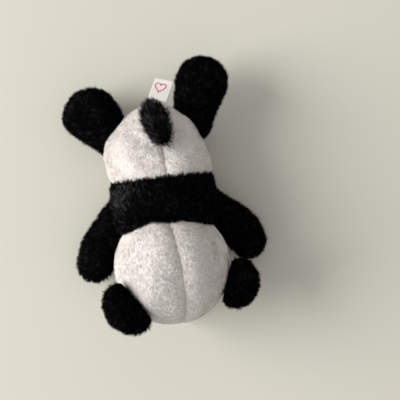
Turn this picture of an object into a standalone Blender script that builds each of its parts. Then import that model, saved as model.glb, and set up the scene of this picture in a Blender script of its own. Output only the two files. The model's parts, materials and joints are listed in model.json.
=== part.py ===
"""Plush panda keychain, lying on its belly with its back up.

Frame: +Z up, +Y from the head towards the rump, +X to the right when seen from above with the
head at the bottom. The origin is under the torso, on the plane that the toy rests on.
Lengths are written in millimetres and turned into metres when a mesh is finished.
"""

from collections import namedtuple
from math import acos, atan2, cos, pi, radians, sin, sqrt

import bmesh
import bpy
from mathutils import Matrix, Vector

MM = 0.001

# Sewing
FABRIC = 0.8  # thickness of a plush panel with its backing
SEAM_GAP = 0.3  # room between two neighbouring pieces
FILL_INSET = 1.25  # how far the filling stays inside the outer face of the fabric
THREAD = 0.25  # radius of the sewing thread
JOINT_GAP = 1.7  # room round a limb's root where it is sewn into the torso
SEGMENTS = 12  # faces round a limb, an ear or the tail
TORSO_SEGMENTS = 16
SHARP_EDGE = radians(50)  # edges sharper than this aren't shaded smooth
LIMB_THREAD_BACK = 0.35  # how far behind the pivot a limb's thread runs, in root radii
NECK_THREAD_BACK = 19.0  # how far behind the head's centre the neck's thread runs
NECK_THREAD_LIFT = 0.75
NECK_THREAD_TILT = radians(-6)
PRESS_ROOM = 1.0  # how far the torso stays off a limb that lies against it
LIFT_ROOM = 1.6  # the same above and below the limb, so that it can lift

# Torso. A chest section is (distance from the middle, half-width, height of its middle,
# half-height); the rump is half an ellipsoid behind the last of them.
NECK_END = -35.5
NECK_HEIGHT = 28.5
CHEST_SECTIONS = ((-33.5, 15.0, 28.5, 13.0), (-30.0, 20.3, 27.9, 17.8), (-26.0, 22.2, 26.3, 19.2),
                  (-20.0, 22.6, 23.7, 19.9), (-13.0, 22.4, 21.3, 20.3), (-5.0, 21.9, 20.0, 20.4))
RUMP_LENGTH = 25.6
RUMP_HALF_WIDTH = 22.3
RUMP_HALF_HEIGHT = 20.1
RUMP_MIDDLE = 19.5  # height of the rump's axis above the rest plane
RUMP_SIDE = -0.7
CHEST_SEAM = -7.1  # where the black band meets the white rump
CHEST_SEAM_TURN = radians(-1.0)
BACK_SEAM = -0.5
TORSO_ROLL = radians(10.0)  # the torso lies rolled a little, so its back seam is off the middle
BELLY_SEAM = 12.0  # height of the seam between the back panels and the front panels

# Head
HEAD_CENTRE = Vector((-0.5, -44.0, 27.4))
HEAD_RADIUS = 24.7
HEAD_UP = 24.0  # half-height of the back of the head
HEAD_DOWN = 21.0  # half-height of the face, which the rest plane flattens
HEAD_ROLL = radians(12.5)  # the head rests rolled to its right
HEAD_TURN = radians(3.0)
FACE_SEAM = -4.0  # height of the seam round the face, in the head's own frame
NECK_SOCKET = HEAD_RADIUS + 1.6

# Face, in the head's own frame
EYE_SIDE = 8.6
EYE_ALONG = -6.5
EYE_DOME = ((0, 2.9), (1.1, 2.65), (1.8, 1.95), (2.1, 1.25))  # (radius, height above the face)
EYE_STEM_RADIUS = 0.9
EYE_STEM_END = -3.4
EYE_HOLE_RADIUS = 1.3
WASHER_BORE = 1.25
WASHER_RADIUS = 3.6
WASHER_TOP, WASHER_BOTTOM = -1.5, -2.3
WASHER_ROOM = 1.0  # room round the washer in the filling
PATCH_HALF_WIDTH, PATCH_HALF_LENGTH = 4.6, 5.9
PATCH_SLANT = radians(32)
FELT = 0.7
MUZZLE_CENTRE = Vector((0, 4.5, -18.6))
MUZZLE_HALF = Vector((9.5, 7.6, 6.4))
NOSE_HALF = Vector((3.4, 2.5, 1.0))
NOSE_ALONG = 1.3
NOSE_TILT = radians(-20)
MOUTH_ALONG = 5.7
MOUTH_STEP = 0.62
MOUTH_DIP = 1.5

# Ears and tail. A flap's section is (distance from its hinge, half-width, half-height,
# height above the hinge). EARS holds the turn from -Y round the head, the height above the
# head's middle, and the ear's share of the sections' width.
EARS = {"left_ear": (radians(61.0), 11.8, 1.12), "right_ear": (radians(-64.5), 10.4, 1.03)}
EAR_ROOM = 1.3
EAR_SECTIONS = ((0.0, 9.0, 2.0, 0.0), (2.5, 10.5, 2.8, 0.0), (5.8, 11.1, 3.6, 0.0),
                (9.0, 10.1, 3.4, 0.0), (11.4, 7.2, 2.7, 0.0))
EAR_TIP = 12.8
TAIL_ROOT = Vector((3.6, 7.6, 41.9))
TAIL_TURN = radians(14.5)
TAIL_DROP = radians(-21.0)
TAIL_SECTIONS = ((0.0, 3.0, 2.0, -1.0), (3.0, 4.2, 2.4, -0.3), (7.5, 5.2, 2.9, 0.0),
                 (12.5, 5.4, 3.1, 0.0), (16.5, 4.4, 2.6, 0.0))
TAIL_TIP = 20.0

# Limbs: the pivot, the direction and the rise of the far end in degrees, the root's radius,
# the sections (distance from the pivot, half-width, half-height, sideways shift), and how far
# the rounded tip reaches past the last section
LimbPlan = namedtuple("LimbPlan", "pivot turn rise root sections tip")
LIMBS = {
    "left_arm": LimbPlan(
        (-19.4, -16.0, 12.6), 145.4, -8.0, 5.8,
        ((7.0, 6.8, 5.9, 0.1), (15.0, 8.4, 6.3, -0.2), (23.2, 9.4, 6.2, -0.6), (29.0, 8.7, 5.9, -1.3)),
        7.6,
    ),
    "right_arm": LimbPlan(
        (17.2, -15.9, 12.8), 217.0, -8.0, 5.8,
        ((7.2, 6.8, 6.0, 0.3), (15.2, 8.5, 6.4, -0.4), (22.9, 9.2, 6.3, -0.6), (28.2, 8.6, 6.0, 0.0)),
        8.0,
    ),
    "left_leg": LimbPlan(
        (-18.7, 12.8, 14.6), 43.0, -3.0, 8.4,
        ((4.5, 9.8, 7.4, 1.0), (10.0, 11.6, 8.6, 1.8), (15.0, 12.2, 8.8, 1.9), (19.0, 11.2, 8.3, 1.4)),
        6.8,
    ),
    "right_leg": LimbPlan(
        (15.9, 14.9, 18.0), -22.0, 3.0, 8.4,
        ((5.5, 9.0, 7.7, -0.7), (11.0, 10.2, 8.8, -0.8), (17.5, 11.5, 9.2, -0.5), (22.3, 10.6, 8.4, -0.6)),
        6.6,
    ),
}

# Label
LABEL_ROOT = Vector((3.2, 26.6, 20.6))
LABEL_TURN = radians(-20.0)
LABEL_WIDTH = 8.3
LABEL_LENGTH = 9.2
LABEL_THICKNESS = 0.4
LABEL_FOLD = 0.55  # radius of the fold at the label's end

# Keychain hardware. The clasp's own frame has X along it, from the swivel's eye to the hook,
# and Z through its flat side.
LOOP_WIDTH = 4.0
LOOP_THICKNESS = 0.5
LOOP_ROOT_HALF = 0.7
LOOP_EYE_HALF = 1.65
LOOP_TOP = Vector((-0.5, -66.3, 16.6))
LOOP_EYE = Vector((-0.5, -68.0, 3.6))
RING_RADIUS = 4.6
RING_WIRE = 0.55
RING_REACH = RING_RADIUS - 0.3  # from the loop's eye to the ring's middle
CLASP_TURN = radians(162.0)  # the clasp lies along this direction, seen from above
EYE_RADIUS = 1.9  # the swivel's eye, which the jump ring runs through
EYE_WIRE = 0.55
EYE_ROOM = 0.9
STEM_RADIUS = 0.8
STEM_END = 8.4
STEM_HEAD_START, STEM_HEAD_END, STEM_HEAD_RADIUS = 7.3, 8.3, 1.6
COLLAR_START, COLLAR_END, COLLAR_RADIUS = 3.6, 6.6, 2.3
HOOK_RADIUS = 0.9
HOOK_PATH = ((5.6, 1.6), (6.6, 3.9), (9.0, 5.4), (12.5, 5.7), (16.5, 5.2), (19.6, 3.4),
             (21.2, 0.6), (21.4, -2.4), (20.5, -4.9), (18.9, -6.1))
LUG_RADIUS = 1.5
LUG_PATH = ((5.4, -0.6), (6.3, -2.6), (7.4, -4.0))
KNUCKLE_RADIUS = 1.6
KNUCKLE_HALF = 1.7
GATE_PIVOT = (8.0, -4.4)
GATE_END = (18.8, -4.3)
GATE_THICKNESS = 1.0
GATE_EYE_RADIUS = 1.4
GATE_BAR_WIDTH = 1.5
GATE_BAR_THICKNESS = 1.2
SLOT_CENTRE = (8.35, -4.65, 0)
SLOT_SIZE = (4.1, 3.9, 1.7)
PIN_RADIUS = 0.45
PIN_HALF = 1.6

Ring = namedtuple("Ring", "along side up half_width half_height")


def clear_scene():
    for obj in list(bpy.data.objects):
        bpy.data.objects.remove(obj, do_unlink=True)


def make_collection(name):
    collection = bpy.data.collections.new(name)
    bpy.context.scene.collection.children.link(collection)
    return collection


def make_material(name, colour, roughness, metallic=0.0):
    material = bpy.data.materials.new(name)
    material.use_nodes = True
    shader = material.node_tree.nodes["Principled BSDF"]
    shader.inputs["Base Color"].default_value = (*colour, 1.0)
    shader.inputs["Roughness"].default_value = roughness
    shader.inputs["Metallic"].default_value = metallic
    material.diffuse_color = (*colour, 1.0)
    return material


def turn_about(axis, angle):
    return Matrix.Rotation(angle, 4, axis)


def turn_onto(direction):
    """The shortest turn that brings +Z onto a direction."""
    return Vector((0, 0, 1)).rotation_difference(direction).to_matrix().to_4x4()


def make_pivot(name, location, rotation):
    """An empty that a moving group of pieces hangs from."""
    pivot = bpy.data.objects.new(name, None)
    pivot.empty_display_size = 5 * MM
    PARTS.objects.link(pivot)
    pivot.matrix_world = Matrix.Translation(Vector(location) * MM) @ rotation
    return pivot


def shade(mesh):
    mesh.shade_smooth()
    mesh.set_sharp_from_angle(angle=SHARP_EDGE)


def finish(name, bm, material, pivot=None):
    """Turn a form in millimetres into an object that sits at its pivot."""
    bmesh.ops.scale(bm, vec=(MM, MM, MM), verts=bm.verts)
    mesh = bpy.data.meshes.new(name)
    bm.to_mesh(mesh)
    bm.free()
    mesh.materials.append(material)
    shade(mesh)
    obj = bpy.data.objects.new(name, mesh)
    PARTS.objects.link(obj)
    if pivot is not None:
        obj.parent = pivot
    return obj


def mesh_from_curve(obj):
    """Replace a curve object by a closed mesh object of the same name and place."""
    bpy.context.view_layer.update()
    evaluated = obj.evaluated_get(bpy.context.evaluated_depsgraph_get())
    mesh = bpy.data.meshes.new_from_object(evaluated)
    name = obj.name
    matrix = obj.matrix_world.copy()
    material = obj.data.materials[0]
    bpy.data.objects.remove(obj, do_unlink=True)
    bm = bmesh.new()
    bm.from_mesh(mesh)
    bmesh.ops.remove_doubles(bm, verts=bm.verts, dist=0.00001)
    bmesh.ops.recalc_face_normals(bm, faces=bm.faces)
    face_outward(bm)
    bm.to_mesh(mesh)
    bm.free()
    mesh.materials.clear()
    mesh.materials.append(material)
    shade(mesh)
    new = bpy.data.objects.new(name, mesh)
    PARTS.objects.link(new)
    new.matrix_world = matrix
    return new


def subtract(obj, cutter):
    cut = obj.modifiers.new("cut_" + cutter.name, "BOOLEAN")
    cut.operation = "DIFFERENCE"
    cut.object = cutter


def join(obj, other):
    """Union another object into this one, and keep the other only as a hidden helper."""
    union = obj.modifiers.new("join_" + other.name, "BOOLEAN")
    union.operation = "UNION"
    union.object = other
    hide(other)


def hide(obj):
    obj.hide_render = True
    obj.display_type = "WIRE"
    for collection in list(obj.users_collection):
        collection.objects.unlink(obj)
    CUTTERS.objects.link(obj)


def face_outward(bm):
    """Turn the faces of a closed form to the outside."""
    if bm.calc_volume(signed=True) < 0:
        bmesh.ops.reverse_faces(bm, faces=bm.faces)


def ringed_form(rings, segments=SEGMENTS):
    """A closed form with elliptical cross-sections along Y. The first and last ring are points."""
    bm = bmesh.new()
    steps = len(rings) - 1
    bmesh.ops.create_uvsphere(bm, u_segments=segments, v_segments=steps, radius=1.0)
    for vert in bm.verts:
        polar = acos(max(-1.0, min(1.0, -vert.co.z)))
        ring = rings[round(polar / pi * steps)]
        turn = atan2(vert.co.y, vert.co.x) + pi / segments
        side = ring.side + ring.half_width * cos(turn)
        up = ring.up + ring.half_height * sin(turn)
        vert.co = (side, ring.along, up)
    face_outward(bm)
    return bm


def cut_away(bm, point, normal):
    """Remove the side of a form that the normal points to, and leave the cut open."""
    everything = bm.verts[:] + bm.edges[:] + bm.faces[:]
    bmesh.ops.bisect_plane(bm, geom=everything, plane_co=point, plane_no=normal, clear_outer=True)


def sewn_panel(name, bm, seams, material, pivot=None):
    """A fabric panel: the part of a form inside its seams, given the fabric's thickness."""
    for point, normal in seams:
        normal = Vector(normal).normalized()
        cut_away(bm, Vector(point) - normal * SEAM_GAP / 2, normal)
    panel = finish(name, bm, material, pivot)
    shell = panel.modifiers.new("fabric", "SOLIDIFY")
    shell.thickness = FABRIC * MM
    shell.offset = -1.0
    return panel


def hollow_ball(name, centre, radius, segments, steps):
    """A hidden ball that cuts a round hollow."""
    bm = bmesh.new()
    bmesh.ops.create_uvsphere(bm, u_segments=segments, v_segments=steps, radius=radius)
    bmesh.ops.translate(bm, vec=centre, verts=bm.verts)
    cutter = finish(name, bm, CUT_MATERIAL)
    hide(cutter)
    return cutter


def cylinder(name, start, end, radius, material, pivot=None, segments=16):
    """A solid cylinder between two points."""
    start = Vector(start)
    end = Vector(end)
    along = end - start
    bm = bmesh.new()
    bmesh.ops.create_cone(bm, cap_ends=True, segments=segments, radius1=radius, radius2=radius,
                          depth=along.length)
    move = Matrix.Translation((start + end) / 2) @ turn_onto(along)
    bmesh.ops.transform(bm, matrix=move, verts=bm.verts)
    return finish(name, bm, material, pivot)


def drill(name, start, end, radius, pivot):
    """A hidden cylinder that cuts a hole."""
    cutter = cylinder(name, start, end, radius, CUT_MATERIAL, pivot)
    hide(cutter)
    return cutter


def thread_ring(name, radius, offset, pivot):
    """A ring of sewing thread round the pivot's Y axis."""
    bm = bmesh.new()
    bmesh.ops.create_circle(bm, segments=4, radius=THREAD)
    bmesh.ops.rotate(bm, matrix=Matrix.Rotation(pi / 2, 3, "Y"), verts=bm.verts)
    bmesh.ops.translate(bm, vec=(0, offset, radius), verts=bm.verts)
    # The section stands across the path; it is turned round Y into a closed ring.
    bmesh.ops.spin(bm, geom=bm.verts[:] + bm.edges[:], cent=(0, 0, 0), axis=(0, 1, 0),
                   angle=2 * pi, steps=20, use_merge=True)
    bmesh.ops.remove_doubles(bm, verts=bm.verts, dist=0.01)
    bmesh.ops.recalc_face_normals(bm, faces=bm.faces)
    face_outward(bm)
    return finish(name, bm, THREAD_MATERIAL, pivot)


# ---------------------------------------------------------------- torso


def torso_rings(inset):
    """Cross-sections from the neck end to the rump end."""
    rings = [Ring(NECK_END + inset, 0, NECK_HEIGHT, 0, 0)]
    for along, half_width, up, half_height in CHEST_SECTIONS:
        rings.append(Ring(along, 0, up, half_width - inset, half_height - inset))
    for angle in (8, 26, 44, 61, 77):
        shape = cos(radians(angle))
        along = (RUMP_LENGTH - inset) * sin(radians(angle))
        rings.append(Ring(along, RUMP_SIDE, RUMP_MIDDLE, (RUMP_HALF_WIDTH - inset) * shape,
                          (RUMP_HALF_HEIGHT - inset) * shape))
    rings.append(Ring(RUMP_LENGTH - inset, RUMP_SIDE, RUMP_MIDDLE, 0, 0))
    return rings


def torso_form(inset=0.0):
    bm = ringed_form(torso_rings(inset), TORSO_SEGMENTS)
    for vert in bm.verts:
        vert.co.z = max(vert.co.z, inset)  # the belly lies flat
    return bm


def limb_matrix(plan):
    return turn_about("Z", radians(plan.turn)) @ turn_about("X", radians(plan.rise))


def limb_dent(name, plan):
    """A hidden form, a little larger than a limb, that dents the torso where the limb lies."""
    rings = []
    for ring in limb_rings(plan, -PRESS_ROOM):
        rings.append(ring._replace(half_height=ring.half_height + LIFT_ROOM))
    dent = ringed_form(rings)
    move = Matrix.Translation(plan.pivot) @ limb_matrix(plan)
    bmesh.ops.transform(dent, matrix=move, verts=dent.verts)
    cutter = finish(name + "_dent", dent, CUT_MATERIAL)
    hide(cutter)
    return cutter


def torso_cutters():
    """The hollows where the head and the limbs are sewn in, and the limbs' dents."""
    cutters = [hollow_ball("neck_hollow", HEAD_CENTRE, NECK_SOCKET, 24, 16)]
    for name, plan in LIMBS.items():
        cutters.append(hollow_ball(name + "_hollow", plan.pivot, plan.root + JOINT_GAP, 16, 10))
        cutters.append(limb_dent(name, plan))
    return cutters


def build_torso():
    towards_rump = turn_about("Z", CHEST_SEAM_TURN) @ Vector((0, 1, 0))
    towards_left = turn_about("Y", TORSO_ROLL) @ Vector((-1, 0, 0))
    up = Vector((0, 0, 1))
    chest = Vector((0, CHEST_SEAM, 0))
    middle = Vector((BACK_SEAM, 0, RUMP_MIDDLE))
    belly = Vector((0, 0, BELLY_SEAM))
    pieces = [
        sewn_panel("chest_back_panel", torso_form(), ((chest, towards_rump), (belly, -up)), BLACK),
        sewn_panel("chest_front_panel", torso_form(), ((chest, towards_rump), (belly, up)), BLACK),
        sewn_panel("rump_left_panel", torso_form(),
                   ((chest, -towards_rump), (belly, -up), (middle, -towards_left)), WHITE),
        sewn_panel("rump_right_panel", torso_form(),
                   ((chest, -towards_rump), (belly, -up), (middle, towards_left)), WHITE),
        sewn_panel("belly_panel", torso_form(), ((chest, -towards_rump), (belly, up)), WHITE),
        finish("torso_filling", torso_form(FILL_INSET), FILLING),
    ]
    for cutter in torso_cutters():
        for piece in pieces:
            subtract(piece, cutter)


# ---------------------------------------------------------------- limbs


def limb_rings(plan, inset):
    """A round root, the limb's sections, and a rounded tip, along the limb's own Y."""
    root = plan.root - inset
    rings = []
    for angle in (0, 38, 66, 90):
        along = -root * cos(radians(angle))
        radius = root * sin(radians(angle))
        rings.append(Ring(along, 0, 0, radius, radius))
    for along, half_width, half_height, side in plan.sections:
        rings.append(Ring(along, side, 0, half_width - inset, half_height - inset))
    last = rings[-1]
    for angle in (35, 64, 90):
        shape = cos(radians(angle))
        along = last.along + (plan.tip - inset) * sin(radians(angle))
        rings.append(Ring(along, last.side, 0, last.half_width * shape, last.half_height * shape))
    return rings


def build_limb(name, plan):
    pivot = make_pivot(name + "_pivot", plan.pivot, limb_matrix(plan))
    for layer, away in (("top", (0, 0, -1)), ("bottom", (0, 0, 1))):
        form = ringed_form(limb_rings(plan, 0.0))
        sewn_panel(f"{name}_{layer}_panel", form, (((0, 0, 0), away),), BLACK, pivot)
    finish(name + "_filling", ringed_form(limb_rings(plan, FILL_INSET)), FILLING, pivot)
    shell = plan.root + JOINT_GAP / 2
    back = -LIMB_THREAD_BACK * plan.root
    thread_ring(name + "_stitching", sqrt(shell**2 - back**2), back, pivot)


# ---------------------------------------------------------------- head


def head_form(inset=0.0):
    """The ball of the head, made of rows that run parallel to the centre seam."""
    bm = bmesh.new()
    bmesh.ops.create_uvsphere(bm, u_segments=20, v_segments=13, radius=1.0)
    bmesh.ops.rotate(bm, matrix=Matrix.Rotation(pi / 2, 3, "Y"), verts=bm.verts)
    for vert in bm.verts:
        height = (HEAD_UP if vert.co.z > 0 else HEAD_DOWN) - inset
        radius = HEAD_RADIUS - inset
        vert.co = (vert.co.x * radius, vert.co.y * radius, vert.co.z * height)
    return bm


def face_point(x, y, lift=0.0):
    """The point of the face, lifted off it, under a place in the head's own frame."""
    radius = HEAD_RADIUS + lift
    return Vector((x, y, -(HEAD_DOWN + lift) * sqrt(1 - (x * x + y * y) / radius**2)))


def head_matrix():
    return turn_about("Z", HEAD_TURN) @ turn_about("Y", HEAD_ROLL)


def build_head():
    pivot = make_pivot("head_pivot", HEAD_CENTRE, head_matrix())
    face_seam = (0, 0, FACE_SEAM)
    for side, away in (("left", (1, 0, 0)), ("right", (-1, 0, 0))):
        seams = ((face_seam, (0, 0, -1)), ((0, 0, 0), away))
        sewn_panel(f"head_back_{side}_panel", head_form(), seams, WHITE, pivot)
    face = sewn_panel("face_panel", head_form(), ((face_seam, (0, 0, 1)),), WHITE, pivot)
    filling = finish("head_filling", head_form(FILL_INSET), FILLING, pivot)
    build_face(pivot, face, filling)
    build_neck_thread()


def build_neck_thread():
    """The thread that closes the neck, between the head's ball and the torso's hollow."""
    neck = make_pivot("neck_pivot", HEAD_CENTRE, turn_about("X", NECK_THREAD_TILT))
    shell = HEAD_RADIUS + NECK_THREAD_LIFT
    radius = sqrt(shell**2 - NECK_THREAD_BACK**2)
    thread_ring("neck_stitching", radius, NECK_THREAD_BACK, neck)


def build_face(pivot, face, filling):
    for side, name in ((-1, "left"), (1, "right")):
        build_eye(name, side, pivot, face, filling)
    build_muzzle(pivot)
    build_nose(pivot)
    build_mouth(pivot)


def build_eye(name, side, pivot, face, filling):
    """A felt patch and a plastic eye, whose stem a washer locks inside the face."""
    spot = face_point(side * EYE_SIDE, EYE_ALONG)
    across, through = HEAD_RADIUS**2, HEAD_DOWN**2
    outward = Vector((spot.x / across, spot.y / across, spot.z / through))
    frame = Matrix.Translation(spot) @ turn_onto(outward)
    above = frame @ Vector((0, 0, 3))
    below = frame @ Vector((0, 0, -5))
    hole = drill(name + "_eye_hole", below, above, EYE_HOLE_RADIUS, pivot)
    room = drill(name + "_washer_room", below, above, WASHER_RADIUS + WASHER_ROOM, pivot)
    patch = eye_patch(name, side, pivot)
    subtract(patch, hole)
    subtract(face, hole)
    subtract(filling, room)
    plastic_eye(name, frame, pivot)
    washer(name, frame, pivot)


def eye_patch(name, side, pivot):
    """A slanted oval of felt that follows the face."""
    bm = bmesh.new()
    for radius in (0.5, 1.0):
        bmesh.ops.create_circle(bm, segments=18, radius=radius)
    bmesh.ops.bridge_loops(bm, edges=bm.edges[:])
    inner = [v for v in bm.verts if v.co.length < 0.75]
    bmesh.ops.contextual_create(bm, geom=inner)
    slant = Matrix.Rotation(side * PATCH_SLANT, 3, "Z")
    for vert in bm.verts:
        flat = slant @ Vector((vert.co.x * PATCH_HALF_WIDTH, vert.co.y * PATCH_HALF_LENGTH, 0))
        vert.co = face_point(side * EYE_SIDE + flat.x, EYE_ALONG + flat.y, SEAM_GAP)
    bmesh.ops.recalc_face_normals(bm, faces=bm.faces)
    if sum(face.normal.z for face in bm.faces) > 0:
        bmesh.ops.reverse_faces(bm, faces=bm.faces)
    patch = finish(name + "_eye_patch", bm, FELT_MATERIAL, pivot)
    felt = patch.modifiers.new("felt", "SOLIDIFY")
    felt.thickness = FELT * MM
    felt.offset = 1.0
    return patch


def lathe(name, profile, frame, material, pivot):
    """A turned solid round the frame's Z axis, from (radius, height) points, top to bottom."""
    bm = bmesh.new()
    verts = [bm.verts.new((radius, 0, height)) for radius, height in profile]
    for first, second in zip(verts, verts[1:]):
        bm.edges.new((first, second))
    bmesh.ops.spin(bm, geom=bm.verts[:] + bm.edges[:], cent=(0, 0, 0), axis=(0, 0, 1),
                   angle=2 * pi, steps=16, use_merge=True)
    bmesh.ops.remove_doubles(bm, verts=bm.verts, dist=0.001)
    bmesh.ops.recalc_face_normals(bm, faces=bm.faces)
    face_outward(bm)
    bmesh.ops.transform(bm, matrix=frame, verts=bm.verts)
    return finish(name, bm, material, pivot)


def plastic_eye(name, frame, pivot):
    rim = EYE_DOME[-1][1]
    stem = ((EYE_STEM_RADIUS, rim), (EYE_STEM_RADIUS, EYE_STEM_END), (0, EYE_STEM_END))
    lathe(name + "_eye", EYE_DOME + stem, frame, GLOSS, pivot)


def washer(name, frame, pivot):
    """The flat ring that holds the stem from inside."""
    profile = ((WASHER_BORE, WASHER_TOP), (WASHER_RADIUS, WASHER_TOP), (WASHER_RADIUS, WASHER_BOTTOM),
               (WASHER_BORE, WASHER_BOTTOM), (WASHER_BORE, WASHER_TOP))
    lathe(name + "_eye_washer", profile, frame, NYLON, pivot)


def muzzle_point(x, y, lift=0.0):
    """The underside of the muzzle, lifted off it, in the head's frame."""
    half = MUZZLE_HALF + Vector((lift, lift, lift))
    rest = 1 - (x / half.x) ** 2 - ((y - MUZZLE_CENTRE.y) / half.y) ** 2
    return Vector((x, y, MUZZLE_CENTRE.z - half.z * sqrt(max(rest, 0.0))))


def build_muzzle(pivot):
    """The snout: a stuffed cap of white plush sewn onto the face."""
    bm = bmesh.new()
    bmesh.ops.create_uvsphere(bm, u_segments=18, v_segments=14, radius=1.0)
    bmesh.ops.scale(bm, vec=MUZZLE_HALF, verts=bm.verts)
    bmesh.ops.translate(bm, vec=MUZZLE_CENTRE, verts=bm.verts)
    muzzle = finish("muzzle", bm, WHITE, pivot)
    inside = finish("muzzle_back", head_form(-SEAM_GAP), CUT_MATERIAL, pivot)
    hide(inside)
    subtract(muzzle, inside)


def build_nose(pivot):
    bm = bmesh.new()
    bmesh.ops.create_uvsphere(bm, u_segments=14, v_segments=8, radius=1.0)
    bmesh.ops.scale(bm, vec=NOSE_HALF, verts=bm.verts)
    spot = muzzle_point(0, NOSE_ALONG, SEAM_GAP + NOSE_HALF.z)
    move = Matrix.Translation(spot) @ turn_about("X", NOSE_TILT)
    bmesh.ops.transform(bm, matrix=move, verts=bm.verts)
    finish("nose", bm, GLOSS, pivot)


def build_mouth(pivot):
    """One thread line: two small arcs that meet under the nose."""
    points = []
    for step in range(-6, 7):
        dip = MOUTH_DIP * abs(sin(pi * step / 6))
        points.append(muzzle_point(step * MOUTH_STEP, MOUTH_ALONG + dip, SEAM_GAP + THREAD) * MM)
    wire("mouth_stitch", points, THREAD, BLACK_THREAD, pivot)


def wire(name, points, radius, material, pivot=None, cyclic=False):
    curve = bpy.data.curves.new(name, "CURVE")
    curve.dimensions = "3D"
    curve.bevel_depth = radius * MM
    curve.bevel_resolution = 1
    curve.use_fill_caps = True
    spline = curve.splines.new("POLY")
    spline.points.add(len(points) - 1)
    for point, spot in zip(spline.points, points):
        point.co = (*spot, 1.0)
    spline.use_cyclic_u = cyclic
    curve.materials.append(material)
    obj = bpy.data.objects.new(name, curve)
    PARTS.objects.link(obj)
    if pivot is not None:
        obj.parent = pivot
    return obj


# ---------------------------------------------------------------- ears and tail


def flap_form(sections, tip, wrap=0.0):
    """A flat rounded flap along Y with a thin root; wrap bends its root round a ball."""
    rings = [Ring(sections[0][0], 0, sections[0][3], 0, 0)]
    for along, half_width, half_height, up in sections:
        rings.append(Ring(along, 0, up, half_width, half_height))
    rings.append(Ring(tip, 0, sections[-1][3], 0, 0))
    bm = ringed_form(rings)
    if wrap:
        for vert in bm.verts:
            vert.co.y -= vert.co.x**2 / (2 * wrap)
    return bm


def solid_layer(name, bm, seam, material, pivot):
    """One side of a flat form as a solid layer of thick plush, closed along the seam."""
    point, normal = seam
    cut_away(bm, Vector(point) - normal * SEAM_GAP / 2, normal)
    bmesh.ops.holes_fill(bm, edges=[edge for edge in bm.edges if edge.is_boundary], sides=0)
    bmesh.ops.recalc_face_normals(bm, faces=bm.faces)
    face_outward(bm)
    finish(name, bm, material, pivot)


def build_flap(name, sections, tip, wrap, pivot):
    root = (0, 0, sections[0][3])
    slope = Vector((0, sections[0][3] - sections[2][3], sections[2][0])).normalized()
    for side, layer in ((-1, "top"), (1, "bottom")):
        solid_layer(f"{name}_{layer}_layer", flap_form(sections, tip, wrap), (root, side * slope),
                    BLACK, pivot)


def build_ear(name, turn, height, share):
    radius = HEAD_RADIUS * sqrt(1 - (height / HEAD_UP) ** 2) + EAR_ROOM
    outward = Vector((-sin(turn), -cos(turn), 0)) * radius
    spot = head_matrix() @ (outward + Vector((0, 0, height)))
    facing = head_matrix() @ turn_about("Z", pi - turn)
    pivot = make_pivot(name + "_pivot", HEAD_CENTRE + spot, facing)
    sections = []
    for along, half_width, half_height, up in EAR_SECTIONS:
        sections.append((along, half_width * share, half_height, up))
    build_flap(name, sections, EAR_TIP, HEAD_RADIUS, pivot)


def build_tail():
    facing = turn_about("Z", TAIL_TURN) @ turn_about("X", TAIL_DROP)
    pivot = make_pivot("tail_pivot", TAIL_ROOT, facing)
    build_flap("tail", TAIL_SECTIONS, TAIL_TIP, 0.0, pivot)


# ---------------------------------------------------------------- label


def folded_strip(name, path, width, thickness, material, pivot):
    """A strip of ribbon that follows a path in the YZ plane, as wide as X allows."""
    bm = bmesh.new()
    verts = [bm.verts.new((-width / 2, y, z)) for y, z in path]
    edges = [bm.edges.new(ends) for ends in zip(verts, verts[1:])]
    swept = bmesh.ops.extrude_edge_only(bm, edges=edges)["geom"]
    moved = [item for item in swept if isinstance(item, bmesh.types.BMVert)]
    bmesh.ops.translate(bm, vec=(width, 0, 0), verts=moved)
    strip = finish(name, bm, material, pivot)
    ribbon = strip.modifiers.new("ribbon", "SOLIDIFY")
    ribbon.thickness = thickness * MM
    ribbon.offset = 0.0
    return strip


def fold_path(length, root_half, end_half, steps):
    """Out along one layer, round the fold, and back along the other, in (along, up) points."""
    bend = length - end_half
    path = [(0.0, root_half), (length / 2, (root_half + end_half) / 2), (bend, end_half)]
    for step in range(1, steps):
        angle = pi / 2 - pi * step / steps
        path.append((bend + end_half * cos(angle), end_half * sin(angle)))
    path += [(along, -up) for along, up in reversed(path[:3])]
    return path


def build_label():
    pivot = make_pivot("label_pivot", LABEL_ROOT, turn_about("Z", LABEL_TURN))
    path = fold_path(LABEL_LENGTH, LABEL_FOLD, LABEL_FOLD, 5)
    folded_strip("woven_label", path, LABEL_WIDTH, LABEL_THICKNESS, RIBBON, pivot)


# ---------------------------------------------------------------- keychain hardware


def build_hanging_loop():
    """The ribbon that is sewn into the crown seam and carries the jump ring."""
    drop = LOOP_EYE - LOOP_TOP
    length = drop.length + LOOP_EYE_HALF
    turn = Vector((0, 1, 0)).rotation_difference(drop).to_matrix().to_4x4()
    pivot = make_pivot("hanging_loop_pivot", LOOP_TOP, turn)
    path = fold_path(length, LOOP_ROOT_HALF, LOOP_EYE_HALF, 8)
    folded_strip("hanging_loop", path, LOOP_WIDTH, LOOP_THICKNESS, RIBBON, pivot)


def circle_points(centre, radius, first, second, count):
    """Points of a circle in the plane of two unit directions, in metres."""
    points = []
    for step in range(count):
        angle = 2 * pi * step / count
        points.append((centre + radius * (cos(angle) * first + sin(angle) * second)) * MM)
    return points


def build_jump_ring():
    pivot = make_pivot("jump_ring_pivot", LOOP_EYE, Matrix())
    centre = Vector((0, RING_REACH, 0))
    points = circle_points(centre, RING_RADIUS, Vector((1, 0, 0)), Vector((0, 1, 0)), 24)
    wire("jump_ring", points, RING_WIRE, STEEL, pivot, cyclic=True)


def clasp_origin():
    """The middle of the swivel's eye, just outside the jump ring."""
    outward = Vector((cos(CLASP_TURN), sin(CLASP_TURN), 0))
    return LOOP_EYE + Vector((0, RING_REACH, 0)) + outward * (RING_RADIUS + EYE_ROOM)


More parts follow.
